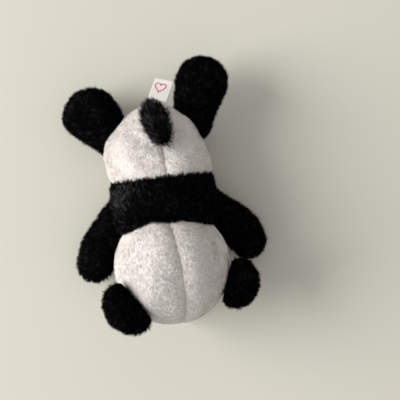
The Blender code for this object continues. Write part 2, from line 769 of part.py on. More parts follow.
def build_swivel(pivot):
    """The ring end and the headed stem that turns in the clasp's collar."""
    points = circle_points(Vector((0, 0, 0)), EYE_RADIUS, Vector((1, 0, 0)), Vector((0, 0, 1)), 16)
    eye = mesh_from_curve(wire("clasp_swivel", points, EYE_WIRE, STEEL, pivot, cyclic=True))
    join(eye, cylinder("swivel_stem", (EYE_RADIUS, 0, 0), (STEM_END, 0, 0), STEM_RADIUS, STEEL, pivot))
    join(eye, cylinder("swivel_head", (STEM_HEAD_START, 0, 0), (STEM_HEAD_END, 0, 0),
                       STEM_HEAD_RADIUS, STEEL, pivot))


def flat_points(path):
    return [Vector((x, y, 0)) * MM for x, y in path]


def on_gate_axis(height):
    return Vector((*GATE_PIVOT, height))


def build_clasp_body(pivot, pin_hole):
    """The collar, the hook and the forked lug that carries the gate's pin, as one casting."""
    body = cylinder("clasp_body", (COLLAR_START, 0, 0), (COLLAR_END, 0, 0), COLLAR_RADIUS, STEEL,
                    pivot, segments=18)
    join(body, mesh_from_curve(wire("hook_bar", flat_points(HOOK_PATH), HOOK_RADIUS, STEEL, pivot)))
    join(body, mesh_from_curve(wire("lug_arm", flat_points(LUG_PATH), LUG_RADIUS, STEEL, pivot)))
    join(body, cylinder("lug_knuckle", on_gate_axis(-KNUCKLE_HALF), on_gate_axis(KNUCKLE_HALF),
                        KNUCKLE_RADIUS, STEEL, pivot))
    bore = drill("collar_bore", (COLLAR_START - 1, 0, 0), (COLLAR_END + 1, 0, 0),
                 STEM_RADIUS + SEAM_GAP, pivot)
    slot = box("gate_slot", SLOT_CENTRE, SLOT_SIZE, CUT_MATERIAL, pivot)
    hide(slot)
    for cutter in (bore, slot, pin_hole):
        subtract(body, cutter)


def box(name, centre, size, material, pivot):
    bm = bmesh.new()
    bmesh.ops.create_cube(bm, size=1.0)
    bmesh.ops.scale(bm, vec=size, verts=bm.verts)
    bmesh.ops.translate(bm, vec=centre, verts=bm.verts)
    return finish(name, bm, material, pivot)


def build_gate(pivot, pin_hole):
    """The sprung bar that closes the hook; it turns on its pin."""
    half = GATE_THICKNESS / 2
    gate = cylinder("clasp_gate", on_gate_axis(-half), on_gate_axis(half), GATE_EYE_RADIUS, STEEL, pivot)
    start, end = GATE_PIVOT[0] - 0.4, GATE_END[0] + 0.4
    centre = ((start + end) / 2, (GATE_PIVOT[1] + GATE_END[1]) / 2 + 0.1, 0)
    bar = box("gate_bar", centre, (end - start, GATE_BAR_WIDTH, GATE_BAR_THICKNESS), STEEL, pivot)
    join(gate, bar)
    subtract(gate, pin_hole)
    cylinder("gate_pin", on_gate_axis(-PIN_HALF), on_gate_axis(PIN_HALF), PIN_RADIUS, STEEL, pivot,
             segments=10)


def build_clasp():
    pivot = make_pivot("clasp_pivot", clasp_origin(), turn_about("Z", CLASP_TURN))
    pin_hole = drill("pin_hole", on_gate_axis(-3), on_gate_axis(3), PIN_RADIUS + SEAM_GAP, pivot)
    build_swivel(pivot)
    build_clasp_body(pivot, pin_hole)
    build_gate(pivot, pin_hole)


def build_all():
    build_torso()
    for name, plan in LIMBS.items():
        build_limb(name, plan)
    build_head()
    for name, plan in EARS.items():
        build_ear(name, *plan)
    build_tail()
    build_label()
    build_hanging_loop()
    build_jump_ring()
    build_clasp()


clear_scene()
PARTS = make_collection("plush_panda_keychain")
CUTTERS = make_collection("cutters")
BLACK = make_material("black_plush", (0.012, 0.012, 0.013), 0.95)
FELT_MATERIAL = make_material("black_felt", (0.015, 0.015, 0.016), 1.0)
WHITE = make_material("white_plush", (0.83, 0.80, 0.77), 0.95)
FILLING = make_material("polyester_fibre", (0.88, 0.88, 0.86), 1.0)
THREAD_MATERIAL = make_material("sewing_thread", (0.10, 0.10, 0.10), 0.8)
BLACK_THREAD = make_material("embroidery_thread", (0.02, 0.02, 0.02), 0.7)
GLOSS = make_material("glossy_black_plastic", (0.006, 0.006, 0.007), 0.12)
NYLON = make_material("natural_nylon", (0.75, 0.74, 0.70), 0.5)
RIBBON = make_material("woven_satin_ribbon", (0.88, 0.86, 0.83), 0.55)
STEEL = make_material("nickel_plated_steel", (0.62, 0.61, 0.58), 0.28, 1.0)
CUT_MATERIAL = make_material("cutter", (0.8, 0.1, 0.1), 0.5)
build_all()
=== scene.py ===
"""The looks of a plush panda keychain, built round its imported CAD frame.

Each soft body's fabric starts as its filling, is puffed by a cloth simulation that the seams hold
back, and is then cut along the seams into panels. The pile is real geometry: short tapered
blades in tufts, which ride on the same body as their fabric.
"""

import json
from math import cos, pi, radians, sin, sqrt

import bmesh
import bpy
import numpy as np
from mathutils import Matrix, Vector
from mathutils.bvhtree import BVHTree

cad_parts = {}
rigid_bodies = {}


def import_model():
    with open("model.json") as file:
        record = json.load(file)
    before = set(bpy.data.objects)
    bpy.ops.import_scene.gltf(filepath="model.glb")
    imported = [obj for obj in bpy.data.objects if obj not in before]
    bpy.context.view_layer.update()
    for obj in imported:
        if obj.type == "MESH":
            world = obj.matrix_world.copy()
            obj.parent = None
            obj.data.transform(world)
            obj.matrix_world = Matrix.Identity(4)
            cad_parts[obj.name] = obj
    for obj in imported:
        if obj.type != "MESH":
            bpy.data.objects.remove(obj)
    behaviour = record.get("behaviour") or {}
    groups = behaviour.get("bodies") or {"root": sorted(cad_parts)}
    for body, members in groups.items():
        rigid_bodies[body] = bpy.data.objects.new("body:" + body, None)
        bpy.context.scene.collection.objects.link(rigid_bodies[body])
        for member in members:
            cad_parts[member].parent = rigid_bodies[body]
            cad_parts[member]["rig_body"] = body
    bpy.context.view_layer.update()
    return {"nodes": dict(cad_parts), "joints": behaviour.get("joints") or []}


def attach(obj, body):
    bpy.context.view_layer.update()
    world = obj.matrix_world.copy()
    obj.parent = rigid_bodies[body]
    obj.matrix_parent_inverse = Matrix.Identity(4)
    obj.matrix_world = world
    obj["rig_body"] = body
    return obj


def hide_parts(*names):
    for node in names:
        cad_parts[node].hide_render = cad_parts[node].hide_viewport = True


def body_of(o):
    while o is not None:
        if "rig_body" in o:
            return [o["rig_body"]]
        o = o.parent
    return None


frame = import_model()

MM = 0.001
BIG = 10.0  # soft forms are simulated at ten times their size, where the cloth solver is steady
FAR = 10.0  # any distance at which a seam has no effect
JOINTS = {joint["name"]: joint for joint in frame["joints"]}
LIMBS = ("left_arm", "right_arm", "left_leg", "right_leg")
EARS = ("left_ear", "right_ear")
FLAPS = EARS + ("tail",)
BODY_OF = {name: body_of(node)[0] for name, node in frame["nodes"].items()}

# The sewing pattern, in millimetres, as the CAD has it
CHEST_SEAM, CHEST_SEAM_TURN = -7.1, radians(-1.0)
BELLY_SEAM = 12.0
BACK_SEAM, BACK_ROLL = -0.5, radians(10.0)
RUMP_MIDDLE = 19.5  # height of the line that the rump is rolled round
HEAD_RADII = (24.7, 24.7, 24.0)
FACE_DEPTH = 21.0
HEAD_ROLL, HEAD_TURN = radians(12.5), radians(3.0)
FACE_SEAM = -4.0
FILL_INSET = 1.25  # the fabric's outer face above the filling
FABRIC = 0.6  # thickness of the knitted ground
HOOK_PATH = ((5.6, 1.6), (6.6, 3.9), (9.0, 5.4), (12.5, 5.7), (16.5, 5.2), (19.6, 3.4),
             (21.2, 0.6), (21.4, -2.4), (20.5, -4.9), (18.9, -6.1))
LUG_PATH = ((5.4, -0.6), (6.3, -2.6), (7.4, -4.0))
GATE_PIVOT, GATE_END = (8.0, -4.4), 18.8
EYE_SIDE, EYE_ALONG = 8.6, -6.5
PATCH_HALF, PATCH_SLANT = (4.6, 5.9), radians(32)
MUZZLE_CENTRE, MUZZLE_HALF = (0.0, 4.5, -18.6), (9.5, 7.6, 6.4)

VOXELS = {"head": 1.7, "torso": 1.7, **{name: 1.3 for name in LIMBS}, **{name: 0.9 for name in FLAPS}}
CLOTH_FRAMES = 20


# ---------------- small helpers


def joint_point(name):
    """A joint's place in millimetres."""
    return np.array(JOINTS[name]["pos_m"]) / MM


def unit(vectors):
    return vectors / np.maximum(np.linalg.norm(vectors, axis=-1, keepdims=True), 1e-9)


def waves(points, size, seed, count=14):
    """Smooth noise from -1 to 1 over points, whose bumps are about as wide as size."""
    rng = np.random.default_rng(seed)
    directions = unit(rng.normal(size=(count, 3)))
    lengths = rng.uniform(0.55, 1.5, count) * pi / size
    phases = rng.uniform(0, 2 * pi, count)
    total = np.sin(points @ (directions * lengths[:, None]).T + phases).sum(axis=1)
    return np.clip(total / sqrt(count), -1, 1)


def assign(target, **values):
    for key, value in values.items():
        setattr(target, key, value)
    return target


def modify(obj, name, kind, **values):
    return assign(obj.modifiers.new(name, kind), **values)


def new_object(name, data):
    obj = bpy.data.objects.new(name, data)
    bpy.context.scene.collection.objects.link(obj)
    return obj


def object_from_bmesh(name, bm, coat=None):
    mesh = bpy.data.meshes.new(name)
    bm.to_mesh(mesh)
    bm.free()
    mesh.shade_smooth()
    if coat:
        mesh.materials.clear()
        mesh.materials.append(coat)
    return new_object(name, mesh)


def read(items, attribute, width, kind=np.float32):
    found = np.empty(len(items) * width, kind)
    items.foreach_get(attribute, found)
    return found.reshape(-1, width)


def coords(mesh):
    return read(mesh.vertices, "co", 3).astype(float)


def set_coords(mesh, points):
    mesh.vertices.foreach_set("co", np.asarray(points, np.float32).ravel())
    mesh.update()


def vertex_normals(mesh):
    return read(mesh.vertex_normals, "vector", 3).astype(float)


def bake_modifiers(obj):
    """Replace an object's mesh by what its modifiers make of it."""
    graph = bpy.context.evaluated_depsgraph_get()
    mesh = bpy.data.meshes.new_from_object(obj.evaluated_get(graph))
    obj.modifiers.clear()
    obj.data = mesh


def relax(mesh, rounds):
    """Laplacian smoothing, half the way to the neighbours' middle each round."""
    ends, points = read(mesh.edges, "vertices", 2, np.int32), coords(mesh)
    count = np.bincount(ends.ravel(), minlength=len(points))[:, None]
    for _ in range(rounds):
        total = np.zeros_like(points)
        np.add.at(total, ends[:, 0], points[ends[:, 1]])
        np.add.at(total, ends[:, 1], points[ends[:, 0]])
        points += 0.5 * (total / np.maximum(count, 1) - points)
    set_coords(mesh, points)


def near(distance, width):
    """1 at no distance, falling smoothly to 0 over the width."""
    return np.exp(-((distance / width) ** 2))


def around(points, centre, reach):
    return near(np.linalg.norm(points - np.array(centre), axis=1), reach)


# ---------------- frames of the soft bodies


def node_points(*nodes):
    return np.concatenate([coords(frame["nodes"][node].data) for node in nodes]) / MM


def part_frame(joint, *nodes):
    """A soft part's origin, on its joint, and its axes: across, along, and through its flat side."""
    origin, across = joint_point(joint), np.array(JOINTS[joint]["axis"])
    along = node_points(*nodes).mean(axis=0) - origin
    along = unit(along - across * (along @ across))
    return origin, np.stack([across, along, np.cross(across, along)], axis=1)


LAYERS, PART_FRAMES = {}, {}
for part_name in LIMBS + FLAPS:
    kind, joint_kind = ("_panel", "_lift") if part_name in LIMBS else ("_layer", "_flex")
    LAYERS[part_name] = (part_name + "_top" + kind, part_name + "_bottom" + kind)
    PART_FRAMES[part_name] = part_frame(part_name + joint_kind, *LAYERS[part_name])


def to_local(points, origin, axes):
    return (points - origin) @ axes


def to_world(points, origin, axes):
    return points @ axes.T + origin


HEAD_ORIGIN = joint_point("head_turn")
HEAD_AXES = np.array(Matrix.Rotation(HEAD_TURN, 3, "Z") @ Matrix.Rotation(HEAD_ROLL, 3, "Y"))


def chest_side(points):
    """Distance from the seam between the band and the rump; positive on the rump's side."""
    return (points[:, 1] - CHEST_SEAM) * cos(CHEST_SEAM_TURN) - points[:, 0] * sin(CHEST_SEAM_TURN)


def back_side(points):
    """Distance from the rump's centre seam, positive to the right."""
    return (points[:, 0] - BACK_SEAM) * cos(BACK_ROLL) - (points[:, 2] - RUMP_MIDDLE) * sin(BACK_ROLL)


# ---------------- fabric forms


def cad_form(name, node):
    """A copy of a CAD node, ready to be remeshed."""
    bm = bmesh.new()
    bm.from_mesh(frame["nodes"][node].data)
    bmesh.ops.remove_doubles(bm, verts=bm.verts, dist=1e-6)
    bmesh.ops.scale(bm, verts=bm.verts, vec=(BIG, BIG, BIG))
    return object_from_bmesh(name, bm)


def unit_ball(subdivisions):
    bm = bmesh.new()
    bmesh.ops.create_icosphere(bm, subdivisions=subdivisions, radius=1.0)
    return bm, np.array([vert.co for vert in bm.verts])


def move_verts(bm, points):
    for vert, point in zip(bm.verts, points):
        vert.co = point


def head_form():
    """The ball of the head, at the size of its filling."""
    bm, points = unit_ball(5)
    radii = np.where(points[:, 2:] > 0, HEAD_RADII, (*HEAD_RADII[:2], FACE_DEPTH))
    points = to_world(points * (radii - FILL_INSET), HEAD_ORIGIN, HEAD_AXES)
    move_verts(bm, points * MM * BIG)
    return object_from_bmesh("head_form", bm)


def hull_form(name, *nodes):
    """The hull of CAD nodes, which closes the hollows in them."""
    bm = bmesh.new()
    for point in node_points(*nodes) * MM * BIG:
        bm.verts.new(point)
    made = bmesh.ops.convex_hull(bm, input=bm.verts)
    loose = [item for item in made["geom_interior"] if isinstance(item, bmesh.types.BMVert)]
    bmesh.ops.delete(bm, geom=list(set(loose)), context="VERTS")
    return object_from_bmesh(name, bm)


def voxel_remesh(obj, voxel):
    modify(obj, "remesh", "REMESH", mode="VOXEL", voxel_size=voxel * MM * BIG)
    bake_modifiers(obj)


CLOTH = {"quality": 5, "mass": 0.3, "tension_stiffness": 12, "compression_stiffness": 12,
         "shear_stiffness": 4, "bending_stiffness": 0.4, "use_pressure": True, "shrink_min": -0.05,
         "vertex_group_mass": "seam"}


def add_cloth(obj, held, pressure):
    """Fabric under pressure from its filling, held back along its seams."""
    group = obj.vertex_groups.new(name="seam")
    for index in np.nonzero(held > 0.02)[0]:
        group.add([int(index)], float(held[index]), "REPLACE")
    cloth = modify(obj, "cloth", "CLOTH")
    assign(cloth.settings, uniform_pressure_force=pressure, **CLOTH)
    cloth.settings.effector_weights.gravity = 0
    cloth.collision_settings.use_collision = False
    assign(cloth.point_cache, frame_start=1, frame_end=CLOTH_FRAMES)


def above_face(local):
    """0 near the face seam, 1 over the back of the head."""
    return np.clip((local[:, 2] - FACE_SEAM - 3.0) / 14.0, 0.0, 1.0)


def head_seams(points):
    local = to_local(points, HEAD_ORIGIN, HEAD_AXES)
    return np.maximum(near(local[:, 0], 1.2) * above_face(local), near(local[:, 2] - FACE_SEAM, 1.2))


def torso_seams(points):
    chest = chest_side(points)
    found = np.maximum(near(chest, 1.2), near(points[:, 2] - BELLY_SEAM, 1.2))
    found = np.maximum(found, near(back_side(points), 1.2) * (chest > 0) * (points[:, 2] > BELLY_SEAM))
    for limb in LIMBS:
        reach = np.linalg.norm(points - PART_FRAMES[limb][0], axis=1)
        found = np.maximum(found, near(reach - 8.0, 2.0))
    neck = np.linalg.norm(points - HEAD_ORIGIN, axis=1) < HEAD_RADII[0] + 1.0
    return np.maximum(found, neck)


def outline_seam(origin, axes, width, strength):
    """The seam round a flat part's outline, and its root."""

    def found(points):
        local = to_local(points, origin, axes)
        return np.maximum(near(local[:, 2], width) * strength, local[:, 1] < 1.0)

    return found


def soft_bodies():
    """name: (form, seams, pressure, how far its fabric stands off the form, most movement)."""
    found = {
        "head": (head_form(), head_seams, 4.0, 0.85, 2.2),
        "torso": (hull_form("torso_form", "torso_filling"), torso_seams, 4.0, 0.9, 2.2),
    }
    for limb in LIMBS:
        seams = outline_seam(*PART_FRAMES[limb], 1.0, 0.9)
        found[limb] = (cad_form(limb + "_form", limb + "_filling"), seams, 4.0, FILL_INSET, 2.0)
    for flap in FLAPS:
        seams = outline_seam(*PART_FRAMES[flap], 0.8, 1.0)
        found[flap] = (hull_form(flap + "_form", *LAYERS[flap]), seams, 3.0, 0.0, 1.0)
    return found


def simulate(bodies):
    """Puff every soft body in one run, and leave each form as its fabric's outer face, in metres."""
    rest = {}
    for name, (obj, seams, pressure, _, _) in bodies.items():
        voxel_remesh(obj, VOXELS[name])
        relax(obj.data, 4)
        held = seams(coords(obj.data) / MM / BIG)
        rest[name] = coords(obj.data)
        add_cloth(obj, np.asarray(held, float), pressure)
    for step in range(1, CLOTH_FRAMES + 1):
        bpy.context.scene.frame_set(step)
    for name, (obj, _, _, stand_off, most) in bodies.items():
        graph = bpy.context.evaluated_depsgraph_get()
        moved = coords(obj.evaluated_get(graph).data)
        obj.modifiers.clear()
        obj.vertex_groups.clear()
        step = (moved - rest[name]) / MM / BIG
        far = np.linalg.norm(step, axis=1, keepdims=True)
        step *= np.minimum(1.0, most / np.maximum(far, 1e-6))
        set_coords(obj.data, rest[name] / BIG + step * MM)
        relax(obj.data, 1)
        normals = vertex_normals(obj.data)
        rise = stand_off - (step * normals).sum(axis=1).mean()
        set_coords(obj.data, coords(obj.data) + normals * rise * MM)
    bpy.context.scene.frame_set(1)


def refine(obj):
    """One subdivision of a puffed form."""
    modify(obj, "fine", "SUBSURF", levels=1)
    bake_modifiers(obj)


def sink(obj, depth):
    """Move a form's surface inwards by depth(points), in millimetres."""
    points = coords(obj.data)
    set_coords(obj.data, points - vertex_normals(obj.data) * (depth(points / MM) * MM)[:, None])


BODIES = soft_bodies()
simulate(BODIES)
FORMS = {name: parts[0] for name, parts in BODIES.items()}
for form in FORMS.values():
    refine(form)


# ---------------- seams, dimples and folds


def bumps(points, *places):
    """Round bumps, each given by its centre, reach and height."""
    return sum(height * around(points, centre, reach) for centre, reach, height in places)


def shape_head(points):
    local = to_local(points, HEAD_ORIGIN, HEAD_AXES)
    centre = (0.55 * near(local[:, 0], 0.6) + 0.25 * near(local[:, 0], 2.4)) * above_face(local)
    return centre + 0.6 * near(local[:, 2] - FACE_SEAM, 0.9) + 0.18 * waves(points, 9.0, 3)


def shape_torso(points):
    """Its seams, two dimples where the tail's thread pulls the cloth in, and three full places."""
    chest = chest_side(points)
    seam = 0.5 * near(chest, 1.0) + 0.4 * near(points[:, 2] - BELLY_SEAM, 0.9)
    back = 0.55 * near(back_side(points), 0.6) + 0.2 * near(back_side(points), 2.0)
    seam += back * (chest > 0) * (points[:, 2] > BELLY_SEAM)
    pulled = bumps(points, ((-9.6, 14.9, 36.5), 2.6, 1.5), ((-7.2, 10.6, 38.5), 2.4, 0.9))
    full = bumps(points, ((-18.0, -30.0, 38.0), 8.0, 1.5), ((-19.0, 9.0, 26.0), 8.0, 2.6),
                 ((16.0, 14.5, 28.0), 7.5, 2.4))
    return seam + pulled - full + 0.22 * waves(points, 8.0, 4)


def shape_limb(limb):
    """The seam round the limb's outline, and soft folds."""

    def found(points):
        local = to_local(points, *PART_FRAMES[limb])
        return 0.5 * near(local[:, 2], 0.8) * (local[:, 1] > 0) + 0.25 * waves(points, 7.0, 5)

    return found


def shape_flap(points):
    return 0.15 * waves(points, 5.0, 6)


sink(FORMS["head"], shape_head)
sink(FORMS["torso"], shape_torso)
for limb_name in LIMBS:
    sink(FORMS[limb_name], shape_limb(limb_name))
for flap_name in FLAPS:
    sink(FORMS[flap_name], shape_flap)


for form in FORMS.values():  # nothing soft reaches below the plane that it lies on
    raised = coords(form.data)
    raised[:, 2] = np.maximum(raised[:, 2], 0.12 * MM)
    set_coords(form.data, raised)


# ---------------- materials


def material(name):
    """A new material and its node tree."""
    made = bpy.data.materials.new(name)
    made.use_nodes = True
    return made, made.node_tree


def connect(node, inputs):
    """Link or set inputs of a node."""
    for name, value in inputs.items():
        if isinstance(value, bpy.types.NodeSocket):
            node.id_data.links.new(value, node.inputs[name])
        else:
            node.inputs[name].default_value = value


def add_node(tree, kind, inputs, **settings):
    """The outputs of a new node."""
    node = assign(tree.nodes.new("ShaderNode" + kind), **settings)
    connect(node, inputs)
    return node.outputs


def uv_parts(tree, name):
    """The two coordinates of a UV map."""
    parts = add_node(tree, "SeparateXYZ", {"Vector": add_node(tree, "UVMap", {}, uv_map=name)["UV"]})
    return parts["X"], parts["Y"]


def object_noise(tree, scale, detail=4.0, stretch=(1, 1, 1)):
    """Noise over the object's own coordinates, with bumps of 1/scale metres."""
    place = add_node(tree, "TexCoord", {})["Object"]
    place = add_node(tree, "Mapping", {"Vector": place, "Scale": stretch})["Vector"]
    return add_node(tree, "TexNoise", {"Vector": place, "Scale": scale, "Detail": detail})["Fac"]


def ramp(source, stops):
    """A colour ramp over a value, from (position, colour) stops; a grey is a single number."""
    node = source.id_data.nodes.new("ShaderNodeValToRGB")
    elements = node.color_ramp.elements
    while len(elements) < len(stops):
        elements.new(0.5)
    for element, (position, colour) in zip(elements, stops):
        element.position = position
        element.color = (*colour, 1.0) if isinstance(colour, tuple) else (colour, colour, colour, 1.0)
    connect(node, {"Fac": source})
    return node.outputs["Color"]


def multiply(first, second):
    inputs = {"Factor": 1.0, "A": first, "B": second}
    return add_node(first.id_data, "Mix", inputs, data_type="RGBA", blend_type="MULTIPLY")["Result"]


def calculate(operation, first, second):
    return add_node(first.id_data, "Math", {0: first, 1: second}, operation=operation)["Value"]


def finish(made, colour, relief=None, **inputs):
    """Connect a material's shader; relief is the (height, strength, distance) of its bump."""
    shader = made.node_tree.nodes["Principled BSDF"]
    connect(shader, {"Base Color": colour, **{name.replace("_", " "): inputs[name] for name in inputs}})
    if relief:
        bump = dict(zip(("Height", "Strength", "Distance"), relief))
        connect(shader, {"Normal": add_node(made.node_tree, "Bump", bump)["Normal"]})
    return made


def pile_material(name, shades, root, sheen, specular):
    """Pile blades: the UV map holds a blade's shade across and its height along."""
    made, tree = material(name)
    across, along = uv_parts(tree, "OFBake")
    # Blades are painted darker towards the root: painted shade among the blades.
    tint = multiply(ramp(across, shades), ramp(along, ((0.0, root), (0.75, 1.0))))
    return finish(made, tint, Roughness=0.95, Specular_IOR_Level=specular, Sheen_Weight=sheen,
                  Sheen_Roughness=0.4)


def backing_material(name, low, high):
    """The knitted ground that shows between the blades."""
    made, tree = material(name)
    colour = ramp(object_noise(tree, 900.0), ((0.3, low), (0.7, high)))
    relief = (object_noise(tree, 2500.0, 2.0), 0.6, 0.0003)
    return finish(made, colour, relief, Roughness=1.0, Specular_IOR_Level=0.0)


WHITE_SHADES = ((0.0, (0.78, 0.71, 0.675)), (0.6, (0.91, 0.87, 0.845)), (1.0, (0.955, 0.935, 0.925)))
# Black pile shades above 0.85 come only from painted light, so the top stop is the colour of painted
# sheen and painted highlights.
BLACK_SHADES = ((0.0, 0.0008), (0.6, (0.0032, 0.0031, 0.0032)), (0.85, (0.019, 0.0185, 0.019)),
                (1.0, (0.09, 0.087, 0.09)))
WHITE_PILE = pile_material("white_pile", WHITE_SHADES, 0.86, 0.15, 0.05)
BLACK_PILE = pile_material("black_pile", BLACK_SHADES, 0.5, 0.0, 0.01)
WHITE_BACKING = backing_material("white_backing", (0.72, 0.67, 0.64), (0.84, 0.80, 0.77))
BLACK_BACKING = backing_material("black_backing", 0.001, 0.003)


def twisted(name, low, high, plies, pitch, roughness):
    """Plied thread: its UV map holds the turn round the strand and the millimetres along it."""
    made, tree = material(name)
    across, along = uv_parts(tree, "along")
    turn = calculate("ADD", calculate("MULTIPLY", across, plies), calculate("DIVIDE", along, pitch))
    ply = calculate("MULTIPLY", calculate("PINGPONG", turn, 0.5), 2.0)
    return finish(made, ramp(ply, ((0.0, low), (0.6, high))), (ply, 0.9, 0.00012), Roughness=roughness)


def woven(name, low, high):
    """Satin ribbon: its UV map holds millimetres across and along; ribs run across it."""
    made, tree = material(name)
    across, along = uv_parts(tree, "along")
    weft = calculate("PINGPONG", calculate("DIVIDE", along, 0.28), 0.5)
    warp = calculate("PINGPONG", calculate("DIVIDE", across, 0.16), 0.5)
    cloth = calculate("MULTIPLY", calculate("ADD", weft, calculate("MULTIPLY", warp, 0.6)), 1.2)
    stains = ramp(object_noise(tree, 300.0), ((0.3, (0.95, 0.945, 0.93)), (0.7, 1.0)))
    tint = multiply(ramp(cloth, ((0.1, low), (0.8, high))), stains)
    return finish(made, tint, (cloth, 0.6, 0.00008), Roughness=0.5, Sheen_Weight=0.15)


def felt():
    """Matted black fibres."""
    made, tree = material("black_felt")
    fibres = object_noise(tree, 1400.0, 6.0, (1.0, 0.35, 1.0))
    colour = ramp(fibres, ((0.3, 0.004), (0.75, (0.022, 0.022, 0.023))))
    return finish(made, colour, (fibres, 0.8, 0.0002), Roughness=1.0, Sheen_Weight=0.15)


def moulded(name, colour, low, high):
    """Plastic with the slightly uneven gloss of a moulding."""
    made, tree = material(name)
    grain = object_noise(tree, 350.0)
    dull = tuple(0.8 * part for part in colour)
    relief = (object_noise(tree, 900.0, 2.0), 0.08, 0.0001)
    return finish(made, ramp(grain, ((0.35, dull), (0.65, colour))), relief,
                  Roughness=ramp(grain, ((0.3, low), (0.7, high))))


def nickel():
    """Nickel plate with soft scuffs and fine scratches."""
    made, tree = material("nickel_plate")
    scuff = object_noise(tree, 260.0, 6.0)
    scratch = object_noise(tree, 900.0, 3.0, (1.0, 7.0, 1.0))
    colour = ramp(scuff, ((0.3, (0.50, 0.485, 0.455)), (0.6, (0.66, 0.65, 0.62))))
    dull = ramp(scuff, ((0.3, 0.42), (0.65, 0.20)))
    return finish(made, colour, (scratch, 0.12, 0.00008), Roughness=dull, Metallic=1.0)


DARK_THREAD = twisted("dark_sewing_thread", 0.006, 0.03, 3.0, 0.7, 0.7)
BLACK_THREAD = twisted("black_embroidery_thread", 0.004, (0.025, 0.025, 0.026), 3.0, 0.9, 0.55)
RED_THREAD = twisted("red_thread", (0.45, 0.01, 0.03), (0.86, 0.045, 0.10), 2.0, 0.6, 0.5)
SATIN = woven("satin_ribbon", (0.74, 0.72, 0.69), (0.93, 0.92, 0.90))
FELT = felt()
GLOSS = moulded("glossy_plastic", (0.008, 0.008, 0.009), 0.08, 0.20)
NYLON = moulded("nylon", (0.75, 0.74, 0.70), 0.45, 0.6)
NICKEL = nickel()


# ---------------- panels


def place_piece(obj, *nodes, hides=True):
    """Ride a piece on the first node's body, and let it stand for all of them."""
    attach(obj, BODY_OF[nodes[0]])
    if hides:
        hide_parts(*nodes)
    return obj


def panel(name, form, sides, backing, *nodes):
    """The part of a form that lies on the right side of each seam, as one piece of fabric."""
    bm = bmesh.new()
    bm.from_mesh(form.data)
    for point, away in sides:
        everything = bm.verts[:] + bm.edges[:] + bm.faces[:]
        bmesh.ops.bisect_plane(bm, geom=everything, plane_co=Vector(point) * MM, plane_no=away,
                               clear_outer=True)
    obj = object_from_bmesh(name, bm, backing)
    modify(obj, "fabric", "SOLIDIFY", thickness=FABRIC * MM, offset=-1.0)
    bake_modifiers(obj)
    place_piece(obj, *nodes)


def torso_panels(form):
    to_rump = Matrix.Rotation(CHEST_SEAM_TURN, 3, "Z") @ Vector((0, 1, 0))
    to_left = Matrix.Rotation(BACK_ROLL, 3, "Y") @ Vector((-1, 0, 0))
    chest, belly, middle = (0, CHEST_SEAM, 0), (0, 0, BELLY_SEAM), (BACK_SEAM, 0, RUMP_MIDDLE)
    on_chest, on_rump = (chest, to_rump), (chest, -to_rump)
    above, below = (belly, Vector((0, 0, -1))), (belly, Vector((0, 0, 1)))
    panel("chest_back", form, (on_chest, above), BLACK_BACKING, "chest_back_panel")
    panel("chest_front", form, (on_chest, below), BLACK_BACKING, "chest_front_panel")
    panel("rump_left", form, (on_rump, above, (middle, -to_left)), WHITE_BACKING, "rump_left_panel")
    panel("rump_right", form, (on_rump, above, (middle, to_left)), WHITE_BACKING, "rump_right_panel")
    panel("belly", form, (on_rump, below), WHITE_BACKING, "belly_panel", "torso_filling")


def head_panels(form):
    right, _, up = (Vector(axis) for axis in HEAD_AXES.T)
    seam = Vector(HEAD_ORIGIN) + up * FACE_SEAM
    for side, away in (("left", right), ("right", -right)):
        node = "head_back_" + side + "_panel"
        panel("head_back_" + side, form, ((seam, -up), (HEAD_ORIGIN, away)), WHITE_BACKING, node)
    panel("face", form, ((seam, up),), WHITE_BACKING, "face_panel", "head_filling")


def limb_panels(limb, form):
    origin, axes = PART_FRAMES[limb]
    up = Vector(axes[:, 2])
    top, bottom = LAYERS[limb]
    panel(limb + "_top", form, ((origin, -up),), BLACK_BACKING, top)
    panel(limb + "_bottom", form, ((origin, up),), BLACK_BACKING, bottom, limb + "_filling")


torso_panels(FORMS["torso"])
head_panels(FORMS["head"])
for limb_name in LIMBS:
    limb_panels(limb_name, FORMS[limb_name])
for flap_name in FLAPS:
    panel(flap_name + "_cloth", FORMS[flap_name], (), BLACK_BACKING, *LAYERS[flap_name])


# ---------------- pile


def scatter(mesh, per_mm2, rng):
    """Random points over a mesh, in millimetres, with the surface's normals."""
    mesh.calc_loop_triangles()
    normals, faces = vertex_normals(mesh), read(mesh.loop_triangles, "vertices", 3, np.int32)
    corner = (coords(mesh) / MM)[faces]
    area = np.linalg.norm(np.cross(corner[:, 1] - corner[:, 0], corner[:, 2] - corner[:, 0]), axis=1) / 2
    count = int(area.sum() * per_mm2 / THINNING)
    chosen = rng.choice(len(faces), count, p=area / area.sum())
    a, b = rng.random(count), rng.random(count)
    flip = a + b > 1
    a[flip], b[flip] = 1 - a[flip], 1 - b[flip]
    weight = np.stack([1 - a - b, a, b], axis=1)[:, :, None]
    return (corner[chosen] * weight).sum(axis=1), unit((normals[faces[chosen]] * weight).sum(axis=1))


def tuft_of(points, size, seed):
    """A random row for each point that neighbours within a tuft share."""
    shift = np.stack([waves(points, size * 2.5, seed + i) for i in range(3)], axis=1) * size * 0.6
    cell = np.floor((points + shift) / size).astype(np.int64)
    mixed = (cell[:, 0] * 73856093) ^ (cell[:, 1] * 19349663) ^ (cell[:, 2] * 83492791)
    table = np.random.default_rng(seed).normal(size=(4096, 5))
    return table[mixed % 4096]


